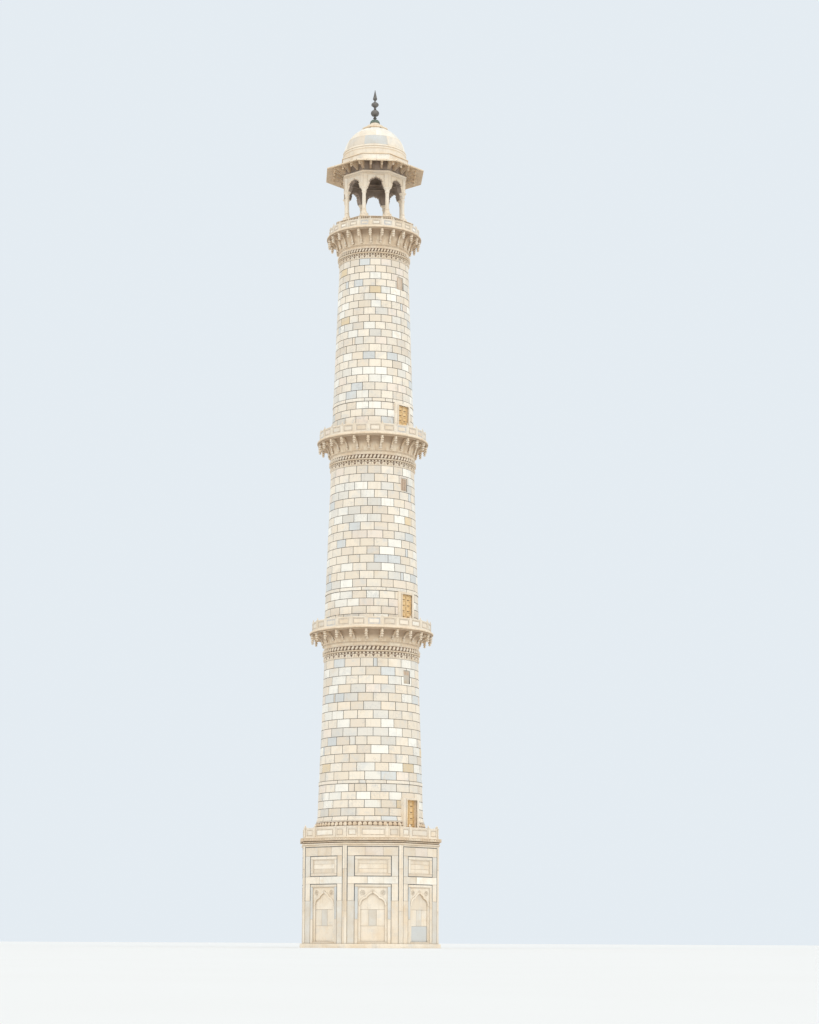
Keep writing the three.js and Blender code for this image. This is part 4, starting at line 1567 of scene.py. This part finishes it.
def foiled_arch(steps=6, grow=0.0):
    """Right half of a pavilion arch: an upright foot, a waist, and foils that meet in cusps."""
    low = PAVILION.springing
    path = [(ARCH.foot + grow, low), (ARCH.waist + grow, low + ARCH.waist_height / 2)]
    for step in range(ARCH.foils * steps):
        share = step / (ARCH.foils * steps)
        angle = share * pi / 2
        swell = 1 + ARCH.depth * (abs(sin(ARCH.foils * pi * share)) - 1)
        across = (ARCH.waist * swell + grow) * cos(angle)
        path.append((across, low + ARCH.waist_height + (ARCH.crown * swell + grow) * sin(angle)))
    return [*path, (0, low + ARCH.waist_height + ARCH.crown + ARCH.peak + grow)]


def build_arches(settings, coats):
    """The ring of cusped arches, with a strip beside each corner and a thin line round each arch."""
    half = PAVILION.outer * SIDE_SLOPE
    low, top = PAVILION.springing, PAVILION.arch_top
    face = -PAVILION.outer
    web = plate("web", archway(half, low, top, foiled_arch()), face, PAVILION.outer - PAVILION.inner, 0.008)
    select_where(
        "VERT", lambda vertex: abs(vertex.co.x) > half - 0.02 and vertex.co.y > -PAVILION.inner - 0.01,
    )
    resize(PAVILION.inner / PAVILION.outer)
    line, outer_line = foiled_arch(grow=0.018), foiled_arch(grow=0.036)
    outline = [*line, *flip(line)[1:], *flip(outer_line)[::-1], *outer_line[::-1][1:]]
    rim = plate("rim", outline, face - 0.01, 0.02)
    strip = mirrored(plate("strip", [
        (half - 0.13, low), (half, low), (half, top), (half - 0.21, top), (half - 0.21, low + 0.3),
        (half - 0.19, low + 0.16),
    ], face - 0.016, 0.03, SOFT_EDGE))
    edge = half - 0.235
    outline = portal(low + 0.3, edge, top - 0.03, edge - 0.016, top - 0.046)
    border = plate("border", outline, face - 0.006, 0.02)
    carved = coated(joined("lines", [border, rim]), coats.carved)
    sides = around(joined("side", [coated(joined("faces", [web, strip]), coats.trim), carved]), SIDES)
    sides.name = "pavilion_arches"
    edit(sides)
    # Painted shade: brown lining on the faces inside the ring of arches.
    coat_where(sides, coats.lining, lambda face: on_flat(middle(face)) < PAVILION.outer - 0.02)
    nodes = [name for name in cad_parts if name.startswith("pavilion_arches")]
    finished(of_stone(sides, settings.stone.cream, 0.33), "marble", *nodes)


def eave_strut(stretch):
    """Outline of a strut under the eave, stretched where it runs to a corner."""
    slope = (PAVILION.wall_top - EAVE.edge_low) / (EAVE.edge - EAVE.root)
    drop = slope * sin(radians(HALF_SIDE)) * 0.05 if stretch > 1 else 0.0

    def soffit(reach):
        return PAVILION.wall_top - (reach - EAVE.root) * slope - drop - 0.001

    root, foot, reach = PAVILION.outer - 0.05, EAVE.foot, EAVE.reach
    tip = soffit(reach)
    points = [
        (root, foot), (root + 0.1, foot),
        *curve((PAVILION.outer + 0.13, foot + 0.02), (root + 0.3, tip - 0.13), (reach - 0.12, tip - 0.1), 7),
        *arc(reach - 0.05, tip - 0.07, 0.05, 220, 360, 4), (reach, tip),
        (EAVE.root, soffit(EAVE.root)), (root, soffit(EAVE.root)),
    ]
    return [(x * stretch, z) for x, z in points]


def build_entablature(settings, coats):
    """The ring over the arches: fascia, frieze and the struts that carry the eave."""
    wall, inner = PAVILION.outer, PAVILION.inner
    low, fascia = PAVILION.arch_top, PAVILION.fascia_top
    body = octagon("body", [
        (inner, low),
        *near(wall, low, (0.035, 0), (0.04, 0.035), (0.02, 0.045), (0.02, 0.1), (0.04, 0.11), (0.045, 0.125)),
        *near(wall, fascia, (0.07, -0.025), (0.07, 0), (0, 0.01)), (wall, PAVILION.wall_top),
        (inner, PAVILION.wall_top),
        *near(inner, low, (0, 0.46), (-0.07, 0.45), (-0.07, 0.4), (0, 0.37)),
        *near(inner, low, (0, 0.16), (-0.05, 0.15), (-0.05, 0.11), (0, 0.09)),
    ], spun_ring)
    edit(coated(body, coats.trim))
    # Painted shade: brown lining inside the ring and on its top.
    coat_where(
        body, coats.lining, lambda face: middle(face).z > fascia or on_flat(middle(face)) < inner + 0.01,
    )
    struts, knobs = [], []
    for y, stretch, first in ((-0.3, 1, 0), (0.3, 1, 0), (0, CORNER, HALF_SIDE)):
        strut = plate("strut", eave_strut(stretch), y - 0.055, 0.11, 0.012)
        struts.append(around(strut, SIDES, first))
        knob = bead("knob", (EAVE.reach - 0.05) * stretch, y, 42.49, 0.055, 0.062, 0.075)
        knobs.append(around(knob, SIDES, first))
    # The struts take the brown finish of painted shade under the eave.
    carving = [coated(joined("struts", struts), coats.hollow), coated(joined("knobs", knobs), coats.carved)]
    whole = joined("pavilion_entablature", [body, *carving])
    finished(of_stone(whole, settings.stone.ivory, 0.5), "weathered_marble", "pavilion_entablature")


def split_sides(cuts):
    """Cut each side of an octagonal ring into slabs of the same width."""
    def along_side(edge):
        first, last = (vertex.co for vertex in edge.verts)
        is_level = abs(first.z - last.z) < LEVEL and abs(first.xy.length - last.xy.length) < 1e-3
        return is_level and edge.calc_length() > 0.6

    select_where("EDGE", along_side)
    bpy.ops.mesh.subdivide(number_cuts=cuts)


def runs_outwards(edge):
    """Whether an edge runs away from the axis or up, as a joint between slabs does."""
    first, last = (vertex.co for vertex in edge.verts)
    along = (last - first).normalized()
    outward = Vector((middle(edge).x, middle(edge).y, 0)).normalized()
    across = Vector((-outward.y, outward.x, 0))
    return abs(along.dot(across)) < 0.6


def build_eave(settings, coats):
    """The thin sloping eave, in slabs."""
    dice = random.Random(SEED.eave)
    piece = octagon("pavilion_eave", [
        (EAVE.tail, PAVILION.wall_top), (EAVE.root, PAVILION.wall_top),
        *near(EAVE.edge, EAVE.edge_low, (-0.015, 0.005), (0, 0.01), (0, 0.06), (-0.01, 0.073)),
        (EAVE.root, PAVILION.wall_top + EAVE.thickness), (EAVE.tail, PAVILION.wall_top + EAVE.thickness),
    ], spun_ring)
    split_sides(3)
    open_joints(piece, runs_outwards, 0.014, 0.003, coats.joint, coats.carved)
    # Painted shade: brown lining on the eave's inner end.
    coat_where(piece, coats.lining, lambda face: hypot(*middle(face).xy) < EAVE.tail + 0.01)
    stones = [[picked(settings.stone, dice) for _ in range(4)] for _ in range(SIDES)]

    def stone_at(point):
        number, x = on_side(point)
        half = hypot(point.x, point.y) * SIDE_SLOPE
        return stones[number][min(max(int((x + half) / half * 2), 0), 3)]

    finished(stoned(piece, stone_at), "weathered_marble", "pavilion_eave")


def build_drum(settings, coats):
    """The octagonal drum under the dome: plain slabs under a thin fillet."""
    dice = random.Random(SEED.drum)
    low = PAVILION.wall_top + EAVE.thickness
    piece = octagon("dome_drum", [
        (DRUM.inner, low), (DRUM.flat, low), (DRUM.flat, DRUM.fillet_low - 0.012),
        (DRUM.fillet, DRUM.fillet_low),
        (DRUM.fillet, DRUM.top - 0.008), (DRUM.fillet - 0.008, DRUM.top), (DRUM.inner, DRUM.top),
    ], spun_ring)
    split_sides(1)
    open_joints(piece, runs_outwards, 0.006, 0.002, coats.carved, coats.trim)
    coat_where(piece, coats.carved, lambda face: middle(face).z > DRUM.fillet_low - 0.01)
    # Painted shade: brown lining inside the drum.
    coat_where(piece, coats.lining, lambda face: hypot(*middle(face).xy) < DRUM.inner * CORNER)
    stones = [
        [picked(settings.stone, dice, dice.choice(DOME_STONES[0])) for _ in range(2)] for _ in range(SIDES)
    ]

    def stone_at(point):
        number, x = on_side(point)
        return stones[number][int(x > 0)]

    finished(stoned(piece, stone_at), "marble", "dome_drum")


DOME_INSIDE = [
    (0, 44.83), (0.45, 44.79), (0.82, 44.68), (1.08, 44.48), (1.28, 44.2), (1.39, 43.75), (1.42, 43.24),
]
DOME_RING = [
    (1.7, 43.24), (1.7, 43.3), (1.712, 43.53), (1.735, 43.555), (1.75, 43.58), (1.748, 43.635),
    (1.72, 43.655),
    (1.72, 43.67), (1.746, 43.69), (1.75, 43.73), (1.738, 43.765), (1.71, 43.775), (1.695, 43.79),
]
DOME_CURVE = [
    (1.69, 43.8), (1.672, 43.93), (1.64, 44.06), (1.585, 44.21), (1.51, 44.36), (1.41, 44.515), (1.29, 44.66),
    (1.17, 44.785), (1.03, 44.9), (0.88, 45.0), (0.72, 45.09),
]
DOME_FOOT = DOME_CURVE[0][1]
DOME_COURSES = [(DOME_FOOT, 8), (44.36, 8), (44.785, 8)]  # lower edge and number of slabs of each course
DOME_STONES = (("cream", "white"), ("cream", "white"), ("white",))  # stones of each course
DOME_PATCHES = {(0, 5): "blue", (0, 4): "beige"}  # slabs of another stone, by course and number


def dome_radius(z):
    """Outside radius of the dome at a height."""
    for (r0, z0), (r1, z1) in zip(DOME_CURVE, DOME_CURVE[1:]):
        if z < z1:
            return r0 + (r1 - r0) * (z - z0) / (z1 - z0)
    return DOME_CURVE[-1][0]


def build_dome(settings, coats):
    """The dome over its moulded ring, in large marble slabs."""
    dice = random.Random(SEED.dome)
    total = 128
    piece = spun("dome", [*DOME_INSIDE, *DOME_RING, *DOME_CURVE, (0, DOME_CURVE[-1][1])], total)

    def course_of(z):
        return max(bisect_right([low for low, _ in DOME_COURSES], z) - 1, 0)

    def outside(point):
        return point.z > DOME_FOOT - 0.005 and point.xy.length > max(dome_radius(point.z) - 0.12, 0.7)

    def is_joint(edge):
        if not outside(middle(edge)):
            return False
        low, high = sorted((edge.verts[0].co.z, edge.verts[1].co.z))
        if high - low < LEVEL:
            return any(abs(low - level) < 0.002 for level, _ in DOME_COURSES)
        course = course_of((low + high) / 2)
        width = total // DOME_COURSES[course][1]
        return (round(azimuth(middle(edge)) * total / 360) + (course + 1) % 2 * width // 2) % width == 0

    open_joints(piece, is_joint, 0.008, 0.002, coats.carved, coats.trim)
    # Painted shade: brown lining inside the dome.
    coat_where(piece, coats.lining, lambda face: middle(face).xy.length < dome_radius(middle(face).z) - 0.15
               and middle(face).z < 44.95)
    stones = [[
        picked(settings.stone, dice, DOME_PATCHES.get((course, number), dice.choice(DOME_STONES[course])))
        for number in range(count)
    ] for course, (_, count) in enumerate(DOME_COURSES)]

    def stone_at(point):
        if point.z < DOME_FOOT:
            return (*settings.stone.cream, 0.8)
        course = course_of(point.z)
        count = DOME_COURSES[course][1]
        step = azimuth(point) * count / 360 + (course + 1) % 2 / 2
        return stones[course][int(step) % count]

    finished(stoned(piece, stone_at), "marble", "dome")


LOTUS_PROFILE = [
    (0, 45.09), (0.66, 45.09), (0.715, 45.1), (0.745, 45.13), (0.745, 45.17), (0.715, 45.2), (0.64, 45.235),
    (0.56, 45.28), (0.5, 45.325), (0.47, 45.34), (0.455, 45.355), (0.46, 45.375), (0.42, 45.4),
    (0.33, 45.43), (0.285, 45.455), (0.255, 45.5), (0.24, 45.54), (0, 45.54),
]


def build_lotus_cap(settings, coats):
    """The lotus over the dome: drooping petals with scalloped tips, then a marble neck."""
    petals, fine = 12, 8
    cap = spun("lotus_cap", LOTUS_PROFILE, petals * fine)
    for step in range(fine):
        share = min(step, fine - step) * 2 / fine
        select_where("VERT", lambda vertex: 45.095 < vertex.co.z < 45.25 and vertex.co.xy.length > 0.6
                     and round(azimuth(vertex.co) * petals * fine / 360) % fine == step)
        grow = 0.93 + 0.09 * sin(share * pi / 2)
        resize(grow, grow)
        shift(0, 0, 0.02 - 0.025 * share)
    edit(coated(cap, coats.carved))
    coat_where(cap, coats.trim, lambda face: middle(face).z > 45.36)
    finished(of_stone(cap, settings.stone.cream, 0.9), "weathered_marble", "lotus_cap")


FINIAL_PROFILE = [
    (0, 45.54), (0.262, 45.54), (0.272, 45.55), (0.272, 45.58), (0.265, 45.62), (0.25, 45.655),
    (0.22, 45.695), (0.17, 45.74), (0.11, 45.765), (0.065, 45.78), (0.055, 45.8), (0.06, 45.82),
    (0.09, 45.835), (0.105, 45.86), (0.09, 45.885), (0.065, 45.905), (0.058, 45.93), (0.065, 45.965),
    (0.11, 45.98), (0.17, 46.01), (0.21, 46.06), (0.23, 46.12), (0.23, 46.17), (0.21, 46.23), (0.17, 46.28),
    (0.11, 46.315), (0.065, 46.335), (0.055, 46.36), (0.075, 46.39), (0.078, 46.41), (0.055, 46.44),
    (0.05, 46.47), (0.09, 46.495), (0.135, 46.53), (0.185, 46.575), (0.205, 46.62), (0.205, 46.655),
    (0.185, 46.7), (0.135, 46.745), (0.09, 46.77), (0.05, 46.79), (0.042, 46.81), (0.042, 46.86),
    (0.06, 46.885), (0.1, 46.92), (0.118, 46.96), (0.115, 47.0), (0.105, 47.03), (0.055, 47.25),
    (0.012, 47.47), (0, 47.5),
]


def build_finial(settings, coats):
    """The bronze finial: cap, two balls between rings, and a straight spear."""
    piece = spun("finial", FINIAL_PROFILE, 32)
    finished(coated(piece, coats.bronze), "finial_bronze", "finial", smooth=50)


# Stage

FLOOR_RADIUS = 140
FARTHEST = 1000  # how far the camera sees
SENSOR_WIDTH = 36  # of the camera, in millimetres


def build_stage(settings, coats):
    """The floor, the soft lights and the camera at the photograph's angle."""
    stage = settings.stage
    floor = added(
        "floor", bpy.ops.mesh.primitive_circle_add, vertices=96, radius=FLOOR_RADIUS, fill_type="NGON",
    )
    leave_all()
    coated(floor, coats.stage)
    world = bpy.data.worlds.new("soft_light")
    world.use_nodes = True
    background = world.node_tree.nodes["Background"]
    background.inputs["Color"].default_value = (*stage.sky, 1)
    background.inputs["Strength"].default_value = stage.sky_strength
    bpy.context.scene.world = world
    for strength, tilt, heading, light in (
        (stage.sun_strength, stage.sun_tilt, stage.sun_turn, stage.sun_colour),
        (stage.fill_strength, stage.fill_tilt, stage.fill_turn, stage.fill_colour),
    ):
        bpy.ops.object.light_add(type="SUN", rotation=(radians(tilt), 0, radians(heading)))
        sun = bpy.context.active_object.data
        sun.energy = strength
        sun.angle = radians(stage.sun_size)
        sun.color = light
    heading = radians(stage.camera_turn)
    away = stage.camera_distance
    bpy.ops.object.camera_add(
        location=(away * cos(heading), away * sin(heading), stage.eye_height),
        rotation=(
            radians(90 + stage.camera_tilt), -radians(stage.camera_roll),
            heading + pi / 2 - radians(stage.camera_swing),
        ),
    )
    camera = bpy.context.active_object
    camera.data.lens = stage.lens
    camera.data.sensor_width = SENSOR_WIDTH
    camera.data.shift_y = stage.shift
    camera.data.clip_end = FARTHEST
    bpy.context.scene.camera = camera
    bpy.context.scene.view_settings.view_transform = "Standard"
    leave_all()


# What a user may change

def amount(name, description, default):
    return FloatProperty(name=name, description=description, default=default)


def colour(name, description, default):
    return FloatVectorProperty(
        name=name, description=description, default=default, subtype="COLOR", size=3, min=0, max=1,
    )


def length(name, description, default):
    return FloatProperty(name=name, description=description, default=default, unit="LENGTH", min=0.0005)


class StoneColours(bpy.types.PropertyGroup):
    """Colours of the stones and of the other finishes."""

    cream: colour("Cream marble", "Most of the blocks", (0.885, 0.785, 0.645))
    white: colour("White marble", "The lightest blocks", (0.94, 0.89, 0.79))
    ivory: colour("Ivory marble", "Warmer blocks", (0.85, 0.735, 0.585))
    beige: colour("Beige marble", "Tan blocks", (0.81, 0.7, 0.565))
    grey: colour("Grey marble", "Cool grey blocks", (0.77, 0.72, 0.635))
    blue: colour("Blue-grey marble", "The coolest blocks", (0.7, 0.705, 0.68))
    rose: colour("Rose marble", "Pinkish blocks", (0.86, 0.745, 0.625))
    ochre: colour("Ochre marble", "Rust-stained blocks", (0.78, 0.62, 0.4))
    cloud: colour("Clouds", "Cool clouds in the marble", (0.6, 0.61, 0.6))
    vein: colour("Veins", "Thin veins in the marble", (0.42, 0.42, 0.42))
    stain: colour("Stains", "Rust-coloured stains", (0.72, 0.54, 0.34))
    streak: colour("Streaks", "Streaks of rain and dust", (0.58, 0.48, 0.36))
    # Painted shade of the dressed marble's corners.
    grime: colour("Grime", "Dirt in the corners", (0.34, 0.27, 0.19))
    mortar: colour("Mortar", "Joints between the blocks", (0.15, 0.12, 0.095))
    old_mortar: colour("Old mortar", "Darker stretches of joint", (0.08, 0.065, 0.05))
    # Painted shade: colours of the sunk lines round the parapets' fields.
    line: colour("Parapet lines", "Sunk lines of the parapets", (0.58, 0.49, 0.39))
    line_blue: colour("Blue-grey lines", "Sunk lines of a few parapet panels", (0.58, 0.56, 0.54))
    # This tan is also painted shade under the ledges of the dressed marble.
    weathered: colour("Weathered marble", "Carved parts, tan with age", (0.76, 0.59, 0.41))
    washed: colour("Washed marble", "Carved parts that the rain reaches", (0.86, 0.74, 0.57))
    # Brown of painted shade under carved parts and on the shaded ground; also the colour of rain streaks.
    hollow: colour("Hollows", "Ground of the carving", (0.52, 0.38, 0.25))
    # Painted shade: dark brown in corners and under ledges.
    soot: colour("Soot", "Brown where rain doesn't reach", (0.26, 0.17, 0.11))
    # Painted shade, near black, in drilled holes, gaps and slots.
    pit: colour("Pits", "Deep holes in the carving", (0.15, 0.1, 0.07))
    # Painted shade: brown for the faces inside the pavilion and the shaft.
    lining: colour("Lining", "Inside of the pavilion", (0.43, 0.35, 0.29))
    lining_dark: colour("Dark lining", "Sooty patches inside", (0.22, 0.17, 0.135))
    slate: colour("Slate", "Inlaid lines of the base", (0.12, 0.125, 0.13))
    sand: colour("Sandstone fill", "Lines filled with sandstone", (0.6, 0.48, 0.34))
    dust: colour("Dust", "Dust on dark finishes", (0.55, 0.5, 0.43))
    door: colour("Door", "Ochre paint of the doors", (0.76, 0.49, 0.21))
    door_light: colour("Faded door", "Faded paint of the doors", (0.86, 0.63, 0.34))
    # Worn paint, and painted shade in the grooves.
    door_worn: colour("Worn door", "Grooves and worn paint", (0.34, 0.2, 0.09))
    window: colour("Window screen", "Boards and bars of the windows", (0.62, 0.46, 0.33))
    window_dark: colour("Dark screen", "Darker fibres of the windows", (0.48, 0.34, 0.24))
    bronze: colour("Bronze", "Finial", (0.125, 0.115, 0.105))
    bronze_dull: colour("Dull bronze", "Weathered patches of the finial", (0.2, 0.185, 0.165))
    patina: colour("Patina", "Green of the finial's cap", (0.12, 0.19, 0.145))
    floor: colour("Floor", "Floor of the stage", (0.8, 0.79, 0.77))


class StageSettings(bpy.types.PropertyGroup):
    """Camera and lights."""

    camera_distance: FloatProperty(
        name="Distance", description="From the axis to the camera", default=59.6, unit="LENGTH",
    )
    eye_height: FloatProperty(
        name="Eye height", description="Camera over the floor", default=0.18, unit="LENGTH",
    )
    camera_turn: amount("Direction", "Direction of the camera from +X, in degrees", 222.5)
    camera_tilt: amount("Tilt", "Camera's tilt upwards, in degrees", 5.788)
    camera_swing: amount("Swing", "Camera's turn to the right of the axis, in degrees", 1.03)
    camera_roll: amount("Roll", "Camera's roll to the left, in degrees", 0.28)
    lens: amount("Lens", "Focal length in millimetres", 77.9)
    shift: amount("Shift", "Upward shift of the lens", 0.2)
    sky: colour("Sky", "Light from all round", (0.78, 0.84, 0.89))
    sky_strength: amount("Sky strength", "Strength of the light from all round", 1.0)
    sun_colour: colour("Sun", "Colour of the main light", (1.0, 0.95, 0.87))
    sun_strength: amount("Sun strength", "Strength of the main light", 1.05)
    sun_size: amount("Softness", "Width of the main light, in degrees", 75)
    sun_tilt: amount("Sun tilt", "Angle of the main light from upright, in degrees", 48)
    sun_turn: amount("Sun direction", "Turn of the main light about the axis, in degrees", 4)
    fill_colour: colour("Fill", "Colour of the light from the left", (1.0, 0.93, 0.84))
    fill_strength: amount("Fill strength", "Strength of the light from the left", 0.74)
    fill_tilt: amount("Fill tilt", "Angle of the light from the left from upright, in degrees", 55)
    fill_turn: amount("Fill direction", "Turn of the light from the left about the axis, in degrees", -98)


class MinaretSettings(bpy.types.PropertyGroup):
    """Sizes of the masonry, with the colours and the stage."""

    blocks: IntProperty(
        name="Blocks a course", description="Blocks round the shaft in each course", default=20, min=8,
        max=40,
    )
    joint_width: length("Joint", "Width of the joints between blocks", 0.026)
    block_proud: length("Relief", "How far blocks stand out of their joints", 0.008)
    slab_joint: length("Slab joint", "Width of the joints between slabs of the base", 0.01)
    stone: PointerProperty(type=StoneColours)
    stage: PointerProperty(type=StageSettings)


# Operators

class PieceOperator:
    """What the operators share: a place in the undo list, and the settings."""

    bl_options = {"REGISTER", "UNDO"}

    @staticmethod
    def run(context, *makers):
        settings = context.scene.minaret
        for make in makers:
            make(settings, coats_of(settings))
        return {"FINISHED"}


class MINARET_OT_base_octagon(PieceOperator, bpy.types.Operator):
    """Build the octagonal base with its cladding, inlay and blind arches"""

    bl_idname = "minaret.base_octagon"
    bl_label = "Base"

    def execute(self, context):
        return self.run(context, build_base_octagon)


class MINARET_OT_base_cornice(PieceOperator, bpy.types.Operator):
    """Build the cornice of the base"""

    bl_idname = "minaret.base_cornice"
    bl_label = "Base cornice"

    def execute(self, context):
        return self.run(context, build_base_cornice)


class MINARET_OT_base_parapet(PieceOperator, bpy.types.Operator):
    """Build the parapet of the base"""

    bl_idname = "minaret.base_parapet"
    bl_label = "Base parapet"

    def execute(self, context):
        return self.run(context, build_base_parapet)


class MINARET_OT_shaft_foot(PieceOperator, bpy.types.Operator):
    """Build the moulded ring at the foot of the shaft"""

    bl_idname = "minaret.shaft_foot"
    bl_label = "Foot of the shaft"

    def execute(self, context):
        return self.run(context, build_shaft_foot)


class MINARET_OT_walls(PieceOperator, bpy.types.Operator):
    """Build the block masonry of the three storeys"""

    bl_idname = "minaret.walls"
    bl_label = "Block walls"

    def execute(self, context):
        return self.run(context, build_walls)


class MINARET_OT_string_courses(PieceOperator, bpy.types.Operator):
    """Build the string course of each storey"""

    bl_idname = "minaret.string_courses"
    bl_label = "String courses"

    def execute(self, context):
        return self.run(context, build_string_courses)


class MINARET_OT_doors(PieceOperator, bpy.types.Operator):
    """Build the door frames and leaves"""

    bl_idname = "minaret.doors"
    bl_label = "Doors"

    def execute(self, context):
        return self.run(context, build_doors)


class MINARET_OT_windows(PieceOperator, bpy.types.Operator):
    """Build the framed window screens"""

    bl_idname = "minaret.windows"
    bl_label = "Windows"

    def execute(self, context):
        return self.run(context, build_windows)


class MINARET_OT_corbels(PieceOperator, bpy.types.Operator):
    """Build the carved bands and brackets under the balconies"""

    bl_idname = "minaret.corbels"
    bl_label = "Corbels"

    def execute(self, context):
        return self.run(context, build_corbels)


class MINARET_OT_balcony_floors(PieceOperator, bpy.types.Operator):
    """Build the slabs of the balconies"""

    bl_idname = "minaret.balcony_floors"
    bl_label = "Balcony floors"

    def execute(self, context):
        return self.run(context, build_balcony_floors)


class MINARET_OT_parapets(PieceOperator, bpy.types.Operator):
    """Build the parapets of the balconies"""

    bl_idname = "minaret.parapets"
    bl_label = "Balcony parapets"

    def execute(self, context):
        return self.run(context, build_parapets)


class MINARET_OT_plinth(PieceOperator, bpy.types.Operator):
    """Build the plinth under the columns"""

    bl_idname = "minaret.plinth"
    bl_label = "Pavilion plinth"

    def execute(self, context):
        return self.run(context, build_plinth)


class MINARET_OT_columns(PieceOperator, bpy.types.Operator):
    """Build the eight columns of the pavilion"""

    bl_idname = "minaret.columns"
    bl_label = "Columns"

    def execute(self, context):
        return self.run(context, build_columns)


class MINARET_OT_arches(PieceOperator, bpy.types.Operator):
    """Build the cusped arches of the pavilion"""

    bl_idname = "minaret.arches"
    bl_label = "Arches"

    def execute(self, context):
        return self.run(context, build_arches)


class MINARET_OT_entablature(PieceOperator, bpy.types.Operator):
    """Build the ring over the arches and the struts of the eave"""

    bl_idname = "minaret.entablature"
    bl_label = "Entablature"

    def execute(self, context):
        return self.run(context, build_entablature)


class MINARET_OT_eave(PieceOperator, bpy.types.Operator):
    """Build the sloping eave"""

    bl_idname = "minaret.eave"
    bl_label = "Eave"

    def execute(self, context):
        return self.run(context, build_eave)


class MINARET_OT_drum(PieceOperator, bpy.types.Operator):
    """Build the octagonal drum under the dome"""

    bl_idname = "minaret.drum"
    bl_label = "Drum"

    def execute(self, context):
        return self.run(context, build_drum)


class MINARET_OT_dome(PieceOperator, bpy.types.Operator):
    """Build the dome"""

    bl_idname = "minaret.dome"
    bl_label = "Dome"

    def execute(self, context):
        return self.run(context, build_dome)


class MINARET_OT_lotus_cap(PieceOperator, bpy.types.Operator):
    """Build the lotus over the dome"""

    bl_idname = "minaret.lotus_cap"
    bl_label = "Lotus cap"

    def execute(self, context):
        return self.run(context, build_lotus_cap)


class MINARET_OT_finial(PieceOperator, bpy.types.Operator):
    """Build the bronze finial"""

    bl_idname = "minaret.finial"
    bl_label = "Finial"

    def execute(self, context):
        return self.run(context, build_finial)


class MINARET_OT_stage(PieceOperator, bpy.types.Operator):
    """Set up the floor, the lights and the camera"""

    bl_idname = "minaret.stage"
    bl_label = "Stage"

    def execute(self, context):
        return self.run(context, build_stage)


OPERATORS = (
    MINARET_OT_base_octagon,
    MINARET_OT_base_cornice,
    MINARET_OT_base_parapet,
    MINARET_OT_shaft_foot,
    MINARET_OT_walls,
    MINARET_OT_string_courses,
    MINARET_OT_doors,
    MINARET_OT_windows,
    MINARET_OT_corbels,
    MINARET_OT_balcony_floors,
    MINARET_OT_parapets,
    MINARET_OT_plinth,
    MINARET_OT_columns,
    MINARET_OT_arches,
    MINARET_OT_entablature,
    MINARET_OT_eave,
    MINARET_OT_drum,
    MINARET_OT_dome,
    MINARET_OT_lotus_cap,
    MINARET_OT_finial,
    MINARET_OT_stage,
)


class MINARET_PT_sidebar(bpy.types.Panel):
    """Lists the settings and one button for each group of pieces"""

    bl_idname = "MINARET_PT_sidebar"
    bl_label = "Marble minaret"
    bl_space_type = "VIEW_3D"
    bl_region_type = "UI"
    bl_category = "Minaret"

    def draw(self, context):
        settings = context.scene.minaret
        for title, group in (("Masonry", settings), ("Colours", settings.stone), ("Stage", settings.stage)):
            column = self.layout.box().column()
            column.label(text=title)
            for name in group.__annotations__:
                if name not in ("stone", "stage"):
                    column.prop(group, name)
        for operator in OPERATORS:
            self.layout.operator(operator.bl_idname)


CLASSES = (StoneColours, StageSettings, MinaretSettings, *OPERATORS, MINARET_PT_sidebar)


def register():
    for item in CLASSES:
        bpy.utils.register_class(item)
    bpy.types.Scene.minaret = PointerProperty(type=MinaretSettings)


def unregister():
    del bpy.types.Scene.minaret
    for item in reversed(CLASSES):
        bpy.utils.unregister_class(item)


def main():
    """Build every piece in order."""
    register()
    for operator in OPERATORS:
        getattr(bpy.ops.minaret, operator.bl_idname.split(".")[1])()


if __name__ == "__main__":
    main()
